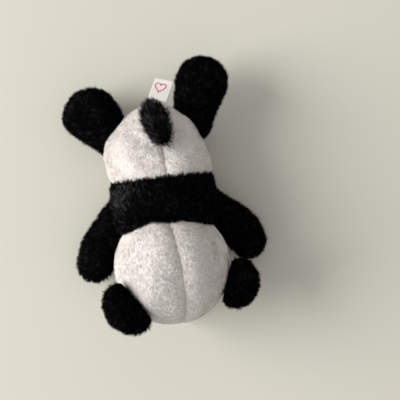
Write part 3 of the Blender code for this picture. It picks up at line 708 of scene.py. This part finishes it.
def grow_pile(name, keep, spots, normals, nap, node, coat, length, width, lean, tuft, seed, ragged=1.0,
              bright=0.0):
    """Tapered blades, five points each, on the kept spots of a node's fabric."""
    rng = np.random.default_rng(seed)
    nap, bright = np.broadcast_to(nap, spots.shape)[keep], np.broadcast_to(bright, len(spots))[keep]
    spots, normals = spots[keep], normals[keep]
    count = len(spots)
    nap = unit(nap - normals * (nap * normals).sum(axis=1, keepdims=True))
    side = np.cross(normals, nap)
    swirl = (0.45 * waves(spots, 8.0, seed + 1) + 0.35 * waves(spots, 2.6, seed + 2))[:, None]
    flow = unit(nap * np.cos(swirl) + side * np.sin(swirl))
    shared = tuft_of(spots, tuft, seed + 3)
    tilt = flow * shared[:, 0:1] + side * shared[:, 1:2]
    leaning = lean + ragged * (0.14 * shared[:, 2:3] + 0.09 * rng.normal(size=(count, 1)))
    rise = unit(normals * np.cos(leaning) + flow * np.sin(leaning)
                + ragged * (0.16 * tilt + 0.12 * rng.normal(size=(count, 3))))
    long = length * (1 + ragged * (0.12 * shared[:, 3:4] + 0.14 * rng.normal(size=(count, 1))))
    long = np.clip(long, 0.45 * length, 1.4 * length)
    roll = rng.uniform(-0.7, 0.7, (count, 1)) * ragged
    across = unit(np.cross(rise, normals) + 1e-4)
    across = unit(across * np.cos(roll) + np.cross(rise, across) * np.sin(roll))
    start = spots - normals * 0.15
    middle = start + rise * long * 0.5
    tip = middle + unit(rise + 0.35 * flow - 0.12 * normals) * long * 0.5
    half = width * (0.8 + 0.4 * rng.random((count, 1))) / 2
    blade = np.stack([start - across * half, start + across * half, middle + across * half * 0.8,
                      middle - across * half * 0.8, tip], axis=1)
    shade = 0.5 + 0.15 * shared[:, 4] + 0.05 * waves(spots, 6.0, seed + 4) + 0.15 * rng.normal(size=count)
    # Painted light (sheen, highlights and shade) is added after the clip, so only painted light lifts a
    # blade above the 0.85 shade.
    shade = np.clip(np.clip(shade, 0.02, 0.85) + bright, 0.02, 0.98)
    soft = unit(normals + 0.25 * rise + 0.30 * ragged * tilt + 0.20 * rng.normal(size=(count, 3)))
    blade_object(name, blade * MM, shade, soft, node, coat)


def add_uv(mesh, name, corners):
    """A UV map from each face corner's pair of values."""
    uv = mesh.uv_layers.new(name=name)
    uv.data.foreach_set("uv", np.asarray(corners, np.float32).ravel())


def blade_object(name, blade, shade, soft, node, coat):
    """One mesh of blades, each a quad and a tip, shaded by the normals of the nap and not their own."""
    count = len(blade)
    points = blade.reshape(-1, 3)
    points[:, 2] = np.maximum(points[:, 2], 0.03 * MM)
    mesh = bpy.data.meshes.new(name)
    mesh.vertices.add(count * 5)
    mesh.vertices.foreach_set("co", points.astype(np.float32).ravel())
    corner = np.array([0, 1, 2, 3, 3, 2, 4])
    loops = (np.arange(count)[:, None] * 5 + corner).astype(np.int32).ravel()
    mesh.loops.add(len(loops))
    mesh.loops.foreach_set("vertex_index", loops)
    mesh.polygons.add(count * 2)
    starts = (np.arange(count)[:, None] * 7 + np.array([0, 4])).astype(np.int32).ravel()
    mesh.polygons.foreach_set("loop_start", starts)
    mesh.polygons.foreach_set("use_smooth", np.ones(count * 2, bool))
    mesh.update()
    across = shade[:, None] + np.array([-1, 1, 1, -1, -1, 1, 0]) * 0.015
    along = np.broadcast_to(np.array([0.02, 0.02, 0.5, 0.5, 0.5, 0.5, 0.98]), across.shape)
    add_uv(mesh, "OFBake", np.stack([across, along], axis=2))
    mesh.normals_split_custom_set_from_vertices(np.repeat(soft, 5, axis=0).tolist())
    mesh.materials.append(coat)
    place_piece(new_object(name, mesh), node, hides=False)


BLACK_COAT = {"coat": BLACK_PILE, "length": 2.0, "width": 0.2, "lean": 0.7, "tuft": 1.2}
WHITE_COAT = {"coat": WHITE_PILE, "length": 1.15, "width": 0.24, "lean": 1.0, "tuft": 0.6, "ragged": 0.6}
WHITE_DENSITY, BLACK_DENSITY = 11.0, 7.5  # blades to the square millimetre
PARTING = 0.35  # no pile stands this near to a centre seam
THINNING = 1.0


def inside_depth(points, tree):
    """How deep points lie inside a closed form, in millimetres; negative outside."""
    found = np.empty(len(points))
    for index, point in enumerate(points):
        spot, normal, _, _ = tree.find_nearest(point * MM)
        found[index] = (spot - Vector(point * MM)).dot(normal) / MM
    return found


def tree_of(mesh):
    return BVHTree.FromPolygons(coords(mesh).tolist(), [tuple(face.vertices) for face in mesh.polygons])


TREES = {name: tree_of(form.data) for name, form in FORMS.items()}


def shown(spots, covers, deepest):
    """Where a form isn't buried in others too deep for its pile ever to show."""
    return np.all([inside_depth(spots, TREES[name]) <= deepest for name in covers], axis=0)


def torso_pile():
    rng = np.random.default_rng(11)
    spots, normals = scatter(FORMS["torso"].data, WHITE_DENSITY, rng)
    keep = np.linalg.norm(spots - HEAD_ORIGIN, axis=1) > HEAD_RADII[0] - 0.6
    keep &= shown(spots, LIMBS, 3.0)
    from_seam = np.where(spots[:, 2] > BELLY_SEAM, np.abs(back_side(spots)), FAR)
    black = chest_side(spots) + 0.25 * waves(spots, 2.0, 12) < 0
    keep &= np.where(black, rng.random(len(spots)) < 0.8, from_seam > PARTING)
    zero = np.zeros(len(spots))
    nap = np.stack([zero, np.where(spots[:, 1] < -24.0, -1.0, 1.0), zero], axis=1)
    # Painted sheen: the band's left end is painted lighter, where the side light catches the pile.
    painted_sheen = 0.45 * around(spots, (-19.0, -12.0, 34.0), 8.0)
    grow_pile("chest_pile", keep & black, spots, normals, nap, "chest_back_panel", seed=20,
              bright=painted_sheen, **BLACK_COAT)
    # Painted shade: blades are darker along the rump's centre seam, as shade in its groove, and over the
    # rump's left side, which faces the lamp.
    painted_shade = -0.5 * near(from_seam, 0.7) - 0.35 * around(spots, (-20.0, 3.0, 32.0), 10.0)
    grow_pile("rump_pile", keep & ~black, spots, normals, nap, "rump_left_panel", seed=21,
              bright=painted_shade, **WHITE_COAT)


def face_is_covered(spots):
    """Where the muzzle and the eye patches lie on the face."""
    local = to_local(spots, HEAD_ORIGIN, HEAD_AXES)
    off_middle = local - MUZZLE_CENTRE
    covered = (off_middle[:, 0] / MUZZLE_HALF[0]) ** 2 + (off_middle[:, 1] / MUZZLE_HALF[1]) ** 2 < 0.85
    for side in (-1, 1):
        across, along = local[:, 0] - side * EYE_SIDE, local[:, 1] - EYE_ALONG
        slant = side * PATCH_SLANT
        flat = across * cos(slant) + along * sin(slant), along * cos(slant) - across * sin(slant)
        covered = covered | ((flat[0] / PATCH_HALF[0]) ** 2 + (flat[1] / PATCH_HALF[1]) ** 2 < 0.9)
    return covered & (local[:, 2] < -6.0)


def head_pile():
    rng = np.random.default_rng(12)
    spots, normals = scatter(FORMS["head"].data, WHITE_DENSITY, rng)
    local = to_local(spots, HEAD_ORIGIN, HEAD_AXES)
    from_seam = np.where(local[:, 2] > FACE_SEAM, np.abs(local[:, 0]), FAR)
    keep = from_seam > PARTING
    keep &= shown(spots, ("torso",), 5.0) & shown(spots, EARS, 0.8) & ~face_is_covered(spots)
    # Painted shade: blades along the head's centre seam are darker, as shade in its groove.
    to_crown, painted_seam_shade = np.array([0.0, -1.0, 0.1]), -0.5 * near(from_seam, 0.7)
    for side, chosen in (("left", keep & (local[:, 0] < 0)), ("right", keep & (local[:, 0] >= 0))):
        grow_pile("head_" + side + "_pile", chosen, spots, normals, to_crown, "face_panel", seed=22,
                  bright=painted_seam_shade, **WHITE_COAT)


def part_pile(name, seed, cover, deepest, **changes):
    """Black pile over a limb or a flap, combed away from its root."""
    spots, normals = scatter(FORMS[name].data, BLACK_DENSITY, np.random.default_rng(seed))
    keep, along = shown(spots, (cover,), deepest), PART_FRAMES[name][1][:, 1]
    coat = {**BLACK_COAT, **changes}
    grow_pile(name + "_pile", keep, spots, normals, along, LAYERS[name][0], seed=seed, **coat)


torso_pile()
head_pile()
for pile_seed, limb_name in enumerate(LIMBS, 30):
    part_pile(limb_name, pile_seed, "torso", 2.5)
for pile_seed, ear_name in enumerate(EARS, 40):
    part_pile(ear_name, pile_seed, "head", 1.5, length=1.7)
# The tail's blades get painted highlights: their shade is lifted towards the top stop.
part_pile("tail", 42, "torso", 1.5, length=2.8, tuft=1.8, bright=0.16)


# ---------------- threads, face, ribbons, hardware


def quads(rows, columns, wrap=True, loop=False):
    """Faces between rows of points; they may wrap round each row, and run on from the last row."""
    found = []
    for i in range(rows if loop else rows - 1):
        j = (i + 1) % rows
        for k in range(columns if wrap else columns - 1):
            n = (k + 1) % columns
            found.append((i * columns + k, i * columns + n, j * columns + n, j * columns + k))
    return found


def caps(rows, columns):
    """The two end faces of closed rows."""
    return [tuple(reversed(range(columns))), tuple(range((rows - 1) * columns, rows * columns))]


def circle(turn):
    """Points round the third axis, one unit from it."""
    return np.stack([np.cos(turn), np.sin(turn), 0 * turn], axis=1)


def path_lengths(points):
    """The distance along a path to each of its points."""
    return np.concatenate([[0], np.cumsum(np.linalg.norm(np.diff(points, axis=0), axis=1))])


def strand(points, radius, sides=8, closed=False):
    """A round strand along points: vertices, faces, and each face corner's (round, along in mm)."""
    points = np.asarray(points, float)
    count = len(points)
    ahead = np.roll(points, -1, 0) - np.roll(points, 1, 0) if closed else np.gradient(points, axis=0)
    ahead = unit(ahead)
    side = np.empty_like(points)
    side[0] = unit(np.cross(ahead[0], (0.3, 0.5, 0.8)))
    for i in range(1, count):
        side[i] = unit(side[i - 1] - ahead[i] * (side[i - 1] @ ahead[i]))
    other = np.cross(ahead, side)
    angle = np.arange(sides) * 2 * pi / sides
    radius = np.broadcast_to(radius, (count,))[:, None, None]
    ring = np.cos(angle)[None, :, None] * side[:, None] + np.sin(angle)[None, :, None] * other[:, None]
    verts = (points[:, None] + radius * ring).reshape(-1, 3)
    far = path_lengths(np.concatenate([points, points[:1]]))
    faces = quads(count, sides, loop=closed)
    corners = []
    for index in range(len(faces)):
        i, k = divmod(index, sides)
        here, there = k / sides, (k + 1) / sides
        corners += [(here, far[i]), (there, far[i]), (there, far[i + 1]), (here, far[i + 1])]
    if not closed:
        faces += caps(count, sides)
        corners += [(0.0, 0.0)] * sides * 2
    return verts, faces, corners


def lathe(profile, origin, axes, steps=40):
    """A turned solid round the third axis, from (radius, height) points that start and end on it."""
    ring = circle(np.arange(steps) * 2 * pi / steps)
    rings = [ring * radius + (0.0, 0.0, height) for radius, height in profile]
    faces = quads(len(profile), steps) + caps(len(profile), steps)
    return to_world(np.concatenate(rings), origin, axes), faces, ()


def piece_of(name, solids, coat, *nodes, hides=True):
    """One visible piece out of solids in millimetres: vertices, faces, and corners for the UV map."""
    verts, faces, corners = [], [], []
    for more_verts, more_faces, more_corners in solids:
        start = len(verts)
        verts += (np.asarray(more_verts) * MM).tolist()
        faces += [tuple(start + index for index in face) for face in more_faces]
        corners += more_corners or [(0.0, 0.0)] * sum(len(face) for face in more_faces)
    mesh = bpy.data.meshes.new(name)
    mesh.from_pydata(verts, [], faces)
    add_uv(mesh, "along", corners)
    mesh.shade_smooth()
    mesh.set_sharp_from_angle(angle=radians(55))
    mesh.materials.append(coat)
    return place_piece(new_object(name, mesh), *nodes, hides=hides)


def smooth_path(points, steps=6):
    """A Catmull-Rom curve through points."""
    points = np.asarray(points, float)
    padded = np.concatenate([[2 * points[0] - points[1]], points, [2 * points[-1] - points[-2]]])
    found = []
    for i in range(1, len(padded) - 2):
        a, b, c, d = padded[i - 1:i + 3]
        for t in np.arange(steps) / steps:
            found.append(0.5 * (2 * b + (c - a) * t + (2 * a - 5 * b + 4 * c - d) * t**2
                                + (3 * b - a - 3 * c + d) * t**3))
    return np.array(found + [points[-1]])


def found_on(hit):
    """What a form's tree found: the point in millimetres, or None, and the outward normal there."""
    spot, normal, _, _ = hit
    return (None, None) if spot is None else (np.array(spot) / MM, np.array(normal))


def ray(tree, start, direction):
    """Where a ray from a point in millimetres leaves a form."""
    return found_on(tree.ray_cast(Vector(start * MM), Vector(direction)))


def stitch(tree, first, torso, second):
    """A short bridge of thread from a form to the torso, with its ends sunk in both fabrics."""
    first, first_normal = found_on(tree.find_nearest(Vector(first * MM)))
    second, second_normal = found_on(torso.find_nearest(Vector(second * MM)))
    a, b = first - 0.25 * first_normal, second - 0.25 * second_normal
    lift = 0.28 * unit(first_normal + second_normal)
    path = [a, first + 0.6 * lift, (first + second) / 2 + lift, second + 0.6 * lift, b]
    short = np.linalg.norm(second - first) < 4.0
    return short, strand(smooth_path(path, 3), 0.16, 6)


def limb_stitches(limb):
    """Slanted stitches round a limb's root, where its fabric enters the torso's."""
    origin, axes = PART_FRAMES[limb]
    tree, torso = TREES[limb], TREES["torso"]
    found = []
    for turn in np.linspace(0, 2 * pi, 22, endpoint=False):
        out = cos(turn) * axes[:, 0] + sin(turn) * axes[:, 2]
        for along in np.arange(14.0, 0.0, -0.25):
            spot = ray(tree, origin + axes[:, 1] * along, out)[0]
            if spot is None or inside_depth(spot[None], torso)[0] < 0:
                continue
            slant = 0.8 * np.cross(out, axes[:, 1])
            short, made = stitch(tree, spot + 0.9 * axes[:, 1], torso, spot + 0.8 * out + slant)
            if short:
                found.append(made)
            break
    piece_of(limb + "_stitching_thread", found, DARK_THREAD, limb + "_stitching")


def neck_stitches():
    """Slanted stitches where the torso's rim is sewn to the head."""
    head, torso = TREES["head"], TREES["torso"]
    found = []
    for turn in np.linspace(0, 2 * pi, 64, endpoint=False):
        for polar in np.radians(np.arange(25.0, 120.0, 1.0)):
            out = np.array([sin(polar) * cos(turn), cos(polar), sin(polar) * sin(turn)])
            spot = ray(head, HEAD_ORIGIN, out)[0]
            if spot is None or inside_depth(spot[None], torso)[0] > 0:
                continue
            onward = HEAD_ORIGIN + unit(out - (0, 0.04, 0)) * np.linalg.norm(spot - HEAD_ORIGIN)
            slant = 0.8 * unit(np.cross(out, (0, 1.0, 0)))
            found.append(stitch(head, onward, torso, spot + 0.8 * out + slant)[1])
            break
    piece_of("neck_thread", found, DARK_THREAD, "neck_stitching")


def face_spot(x, y, lift):
    """A point over the face's fabric, from head coordinates, and the normal there."""
    start = to_world(np.array([[x, y, -8.0]]), HEAD_ORIGIN, HEAD_AXES)[0]
    spot, normal = ray(TREES["head"], start, -HEAD_AXES[:, 2])
    return spot + normal * lift, normal


def eye_patch(name, side):
    """A slanted oval of felt, a little domed, with its edge sunk in the pile."""
    rings, steps = (0.0, 0.35, 0.6, 0.8, 0.92, 0.985, 1.0), 48
    verts = [face_spot(side * EYE_SIDE, EYE_ALONG, 0.85)[0]]
    for reach in rings[1:]:
        lift = 0.85 * sqrt(max(1 - reach**6, 0.0)) - 0.2 * (reach == 1.0)
        for k in range(steps):
            turn = 2 * pi * k / steps
            wide = reach * PATCH_HALF[0] * cos(turn) * (1 + 0.015 * sin(5 * turn))
            long = reach * PATCH_HALF[1] * sin(turn)
            slant = side * PATCH_SLANT
            x = side * EYE_SIDE + wide * cos(slant) - long * sin(slant)
            y = EYE_ALONG + wide * sin(slant) + long * cos(slant)
            verts.append(face_spot(x, y, lift)[0])
    faces = [(0, 1 + k, 1 + (k + 1) % steps) for k in range(steps)]
    faces += [(1 + a, 1 + d, 1 + c, 1 + b) for a, b, c, d in quads(len(rings) - 1, steps)]
    patch = piece_of(name + "_eye_felt", [(verts, faces, ())], FELT, name + "_eye_patch")
    bm = bmesh.new()
    bm.from_mesh(patch.data)
    bmesh.ops.recalc_face_normals(bm, faces=bm.faces)
    bm.to_mesh(patch.data)
    bm.free()


def plastic_eye(name, side):
    """A domed safety eye with a thin rim, on its patch."""
    spot, normal = face_spot(side * EYE_SIDE, EYE_ALONG, 0.0)
    across = unit(np.cross(normal, (0.2, 1.0, 0.1)))
    axes = np.stack([across, np.cross(normal, across), normal], axis=1)
    profile = [(0.02, -3.2), (0.9, -3.2), (0.9, 0.6), (2.15, 0.62), (2.28, 0.75), (2.28, 0.95),
               (2.15, 1.05)]
    for step in range(1, 11):
        turn = pi / 2 * step / 10
        profile.append((max(2.08 * cos(turn), 0.02), 1.05 + 1.75 * sin(turn)))
    piece_of(name + "_eye_dome", [lathe(profile, spot, axes)], GLOSS, name + "_eye")


def muzzle_point(x, y, lift=0.0):
    """A point on the muzzle, from head coordinates, or above it."""
    half = np.array(MUZZLE_HALF) + lift
    rest = 1 - (x / half[0]) ** 2 - ((y - MUZZLE_CENTRE[1]) / half[1]) ** 2
    local = np.array([[x, y, MUZZLE_CENTRE[2] - half[2] * sqrt(max(rest, 0.0))]])
    return to_world(local, HEAD_ORIGIN, HEAD_AXES)[0]


MOUTH = [muzzle_point(step * 0.31, 5.7 + 1.5 * abs(sin(pi * step / 12))) for step in range(-12, 13)]


def snout():
    """The stuffed muzzle with its pile, the nose and the mouth's thread."""
    bm, points = unit_ball(5)
    half = np.array(MUZZLE_HALF) - 0.4
    local = points * half + MUZZLE_CENTRE
    local += points * (0.15 * waves(local, 5.0, 61))[:, None]
    points = to_world(local, HEAD_ORIGIN, HEAD_AXES)
    deep = inside_depth(points, TREES["head"])
    move_verts(bm, points * MM)
    bm.verts.ensure_lookup_table()
    gone = [bm.verts[index] for index in np.nonzero(deep > 1.6)[0]]
    bmesh.ops.delete(bm, geom=gone, context="VERTS")
    cloth = object_from_bmesh("muzzle_cloth", bm, WHITE_BACKING)
    spots, normals = scatter(cloth.data, WHITE_DENSITY, np.random.default_rng(62))
    keep = inside_depth(spots, TREES["head"]) < 0.2
    for point in MOUTH:
        keep &= np.linalg.norm(spots - point, axis=1) > 0.75
    nose = muzzle_point(0, 1.3, 0.6)
    keep &= np.linalg.norm(to_local(spots, nose, HEAD_AXES) / (3.5, 2.6, 4.0), axis=1) > 0.9
    away = spots - muzzle_point(0, 2.5)
    grow_pile("muzzle_pile", keep, spots, normals, away, "muzzle", seed=63, **WHITE_COAT)
    place_piece(cloth, "muzzle")
    piece_of("mouth_thread", [strand(smooth_path(MOUTH, 2), 0.24, 8)], BLACK_THREAD, "mouth_stitch")
    nose_button()


def nose_button():
    """A rounded triangle of moulded plastic."""
    bm, _ = unit_ball(4)
    tilt = np.array(Matrix.Rotation(radians(-20), 3, "X"))
    for vert in bm.verts:
        x, y, z = vert.co
        narrow = 1.0 - 0.28 * max(y, -1.0)
        puff = np.array([3.3 * x * narrow, 2.45 * y + 0.3 * x * x, 1.05 * z])
        vert.co = Vector(HEAD_AXES @ (tilt @ puff)) * MM
    spot = muzzle_point(0, 1.3, 0.8)
    bmesh.ops.translate(bm, verts=bm.verts, vec=Vector(spot) * MM)
    place_piece(object_from_bmesh("nose_button", bm, GLOSS), "nose")


def fold_path(length, root_half, end_half):
    """Out along one layer, round the fold, and back along the other, in (along, up) points."""
    bend, steps = length - end_half, 24
    out = [(bend * t, root_half + (end_half - root_half) * t) for t in np.linspace(0, 1, steps)]
    turn = [pi / 2 - pi * step / steps for step in range(1, steps)]
    fold = [(bend + end_half * cos(a), end_half * sin(a)) for a in turn]
    return out + fold + [(x, -z) for x, z in reversed(out)]


def ribbon(name, path, width, thickness, place, node):
    """A woven ribbon that follows a path, with fine selvedges."""
    across = np.array([-0.5, -0.47, -0.44, -0.25, 0.0, 0.25, 0.44, 0.47, 0.5]) * width
    path = np.asarray(path)
    far, wide = path_lengths(path), len(across)
    verts = np.array([(x, y, z) for y, z in path for x in across])
    faces = quads(len(path), wide, wrap=False)
    corners = [(across[index % wide], far[index // wide]) for face in faces for index in face]
    obj = piece_of(name, [(place(verts), faces, corners)], SATIN, node)
    modify(obj, "weave", "SOLIDIFY", thickness=thickness * MM, offset=0.0)


LABEL_LENGTH, LABEL_WIDTH = 9.2, 8.2
LABEL_TURN, LABEL_SKEW = radians(-20), 0.14
LOOP_TOP, LOOP_EYE = np.array([-0.5, -66.3, 16.6]), np.array([-0.5, -68.0, 3.6])
LOOP_WIDTH, LOOP_EYE_RADIUS = 4.0, 1.65
RING_RADIUS, WIRE_RADIUS, EYE_RADIUS = 4.6, 0.55, 1.9
RING_MIDDLE = LOOP_EYE + np.array([0.0, 4.3, 0.0])
CLASP_AXES = np.array(Matrix.Rotation(radians(162), 3, "Z"))
CLASP_ORIGIN = RING_MIDDLE + CLASP_AXES[:, 0] * 5.5
ALONG_CLASP = CLASP_AXES[:, [1, 2, 0]]


def label():
    """A folded label, a little skewed and curled, with a heart stitched in red."""
    tilt = np.array(Matrix.Rotation(LABEL_TURN, 3, "Z"))

    def place(points):
        sheared = points.copy()
        sheared[:, 0] += 0.35 - LABEL_SKEW * (LABEL_LENGTH - points[:, 1])
        sheared[:, 2] += 0.35 * np.sin(points[:, 0] / 7.9 * pi) * (points[:, 1] / LABEL_LENGTH) ** 2
        return to_world(sheared, joint_point("label_flex"), tilt)

    ribbon("label_ribbon", fold_path(LABEL_LENGTH, 0.5, 0.5), LABEL_WIDTH, 0.3, place, "woven_label")
    outline = []
    for a in np.linspace(0, 2 * pi, 60, endpoint=False):
        curve = 13 * cos(a) - 5 * cos(2 * a) - 2 * cos(3 * a) - cos(4 * a)
        outline.append((2.3 * sin(a) ** 3 - 0.8, 5.6 + 0.14 * curve, 0.72))
    heart = strand(place(np.array(outline)), 0.17, 6, closed=True)
    piece_of("label_heart", [heart], RED_THREAD, "woven_label", hides=False)


def hanging_loop():
    """The ribbon from the crown's seam to the jump ring."""
    drop = unit(LOOP_EYE - LOOP_TOP)
    across = np.array([1.0, 0.0, 0.0])
    axes = np.stack([across, drop, np.cross(across, drop)], axis=1)
    path = fold_path(np.linalg.norm(LOOP_EYE - LOOP_TOP) + LOOP_EYE_RADIUS, 0.7, LOOP_EYE_RADIUS)

    def place(points):
        return to_world(points, LOOP_TOP, axes)

    ribbon("loop_ribbon", path, LOOP_WIDTH, 0.45, place, "hanging_loop")


def clasp_place(points):
    return to_world(np.asarray(points, float), CLASP_ORIGIN, CLASP_AXES)


def clasp_path(path):
    return clasp_place(smooth_path([(x, y, 0.0) for x, y in path]))


GATE_CENTRE = clasp_place([(*GATE_PIVOT, 0.0)])[0]


def fuse(obj, voxel, cutters=()):
    """Cast a piece's overlapping solids into one, with soft inner corners, then cut it."""
    modify(obj, "cast", "REMESH", mode="VOXEL", voxel_size=voxel * MM)
    modify(obj, "soften", "CORRECTIVE_SMOOTH", iterations=6, use_only_smooth=True)
    for cutter in cutters:
        modify(obj, "cut", "BOOLEAN", object=cutter)
    bake_modifiers(obj)
    obj.data.shade_smooth()
    obj.data.set_sharp_from_angle(angle=radians(40))
    for cutter in cutters:
        bpy.data.objects.remove(cutter)


def cutter_of(solid):
    verts, faces, _ = solid
    mesh = bpy.data.meshes.new("cutter")
    mesh.from_pydata((verts * MM).tolist(), [], faces)
    return new_object("cutter", mesh)


def brick(centre, size):
    """Eight corners and six faces in the clasp's frame."""
    signs = np.array([(x, y, z) for x in (-1, 1) for y in (-1, 1) for z in (-1, 1)])
    faces = [(0, 1, 3, 2), (4, 6, 7, 5), (0, 4, 5, 1), (2, 3, 7, 6), (0, 2, 6, 4), (1, 5, 7, 3)]
    return clasp_place(signs * np.array(size) / 2 + centre), faces, ()


def disc(radius, low, high):
    """A turned disc round the gate's pin, with a rounded rim."""
    rim = 0.18
    profile = [(0.01, low), (radius - rim, low), (radius, low + rim), (radius, high - rim),
               (radius - rim, high), (0.01, high)]
    return lathe(profile, GATE_CENTRE, CLASP_AXES)


def hardware():
    """A split jump ring and a swivel snap clasp, in nickel plate."""
    ring = RING_MIDDLE + RING_RADIUS * circle(np.linspace(0.035, 2 * pi - 0.035, 97))
    piece_of("split_ring", [strand(ring, WIRE_RADIUS, 16)], NICKEL, "jump_ring")

    eye = clasp_place(EYE_RADIUS * circle(np.linspace(0, 2 * pi, 48, endpoint=False))[:, [0, 2, 1]])
    stem = [(0.01, 1.7), (0.8, 1.7), (0.8, 7.2), (1.45, 7.3), (1.6, 7.5), (1.6, 8.0), (1.35, 8.3),
            (0.01, 8.4)]
    swivel = [strand(eye, WIRE_RADIUS, 14, closed=True), lathe(stem, CLASP_ORIGIN, ALONG_CLASP)]
    piece_of("swivel_eye", swivel, NICKEL, "clasp_swivel")

    collar = [(0.01, 3.6), (1.9, 3.6), (2.2, 3.8), (2.3, 4.1), (2.3, 4.7), (2.05, 4.85), (2.05, 5.05),
              (2.3, 5.2), (2.3, 6.1), (2.15, 6.5), (1.8, 6.6), (0.01, 6.6)]
    hook = clasp_path(HOOK_PATH)
    thin = 0.9 * (1 - 0.12 * np.linspace(0, 1, len(hook)))
    thin[-1] = 0.5
    cast = [lathe(collar, CLASP_ORIGIN, ALONG_CLASP), strand(hook, thin, 16),
            strand(clasp_path(LUG_PATH), 1.5, 16), disc(1.6, -1.7, 1.7)]
    body = piece_of("clasp_casting", cast, NICKEL, "clasp_body")
    slot = cutter_of(brick((8.35, -4.65, 0.0), (4.1, 3.9, 1.7)))
    bore = cutter_of(lathe([(1.1, 2.6), (1.1, 7.6)], CLASP_ORIGIN, ALONG_CLASP))
    fuse(body, 0.16, (slot, bore))

    bar = brick(((GATE_PIVOT[0] + GATE_END) / 2, -4.25, 0.0), (11.6, 1.5, 1.2))
    gate = piece_of("gate_bar", [bar, disc(1.4, -0.5, 0.5)], NICKEL, "clasp_gate")
    fuse(gate, 0.12)
    pin = [(0.01, -1.75), (0.3, -1.75), (0.45, -1.6), (0.45, 1.6), (0.3, 1.75), (0.01, 1.75)]
    piece_of("gate_rivet", [lathe(pin, GATE_CENTRE, CLASP_AXES, 24)], NICKEL, "gate_pin")


def carried_over(name, coat):
    """A CAD node that stays gets its procedural finish."""
    for slot in frame["nodes"][name].material_slots:
        slot.link = "OBJECT"
        slot.material = coat


for limb_name in LIMBS:
    limb_stitches(limb_name)
neck_stitches()
for eye_name, eye_side in (("left", -1), ("right", 1)):
    eye_patch(eye_name, eye_side)
    plastic_eye(eye_name, eye_side)
    carried_over(eye_name + "_eye_washer", NYLON)
snout()
label()
hanging_loop()
hardware()
for form in FORMS.values():
    bpy.data.objects.remove(form)


# ---------------- stage


DAYLIGHT = (1.0, 0.985, 0.965)


def make_floor():
    """A pale board, a little uneven in tone."""
    made, tree = material("floor")
    tones = ((0.3, (0.665, 0.655, 0.58)), (0.7, (0.685, 0.675, 0.60)))
    finish(made, ramp(object_noise(tree, 3.0), tones), Roughness=0.9)
    bm = bmesh.new()
    bmesh.ops.create_grid(bm, x_segments=4, y_segments=4, size=2.0)
    object_from_bmesh("floor", bm, made)


def make_light():
    """Soft light from a window, low on the left of the picture."""
    data = bpy.data.lights.new("window", "AREA")
    lamp = new_object("window", assign(data, shape="DISK", size=1.3, energy=30.3, color=DAYLIGHT))
    lamp.location = (-1.33, 0.24, 0.74)
    lamp.rotation_euler = (Vector((0, -0.02, 0)) - lamp.location).to_track_quat("-Z", "Y").to_euler()


def make_world():
    world = bpy.data.worlds.new("room")
    world.use_nodes = True
    connect(world.node_tree.nodes["Background"], {"Color": (*DAYLIGHT, 1.0), "Strength": 0.51})
    bpy.context.scene.world = world


def make_camera():
    """Straight above the toy, turned a little, with the head at the bottom of the picture."""
    data = bpy.data.cameras.new("camera")
    camera = new_object("camera", assign(data, lens=79.5, clip_start=0.01))
    camera.location = (0.015, -0.018, 0.400)
    camera.rotation_euler = (0, 0, radians(-7.41))
    bpy.context.scene.camera = camera


bpy.context.scene.view_settings.view_transform = "Standard"
make_floor()
make_light()
make_world()
make_camera()
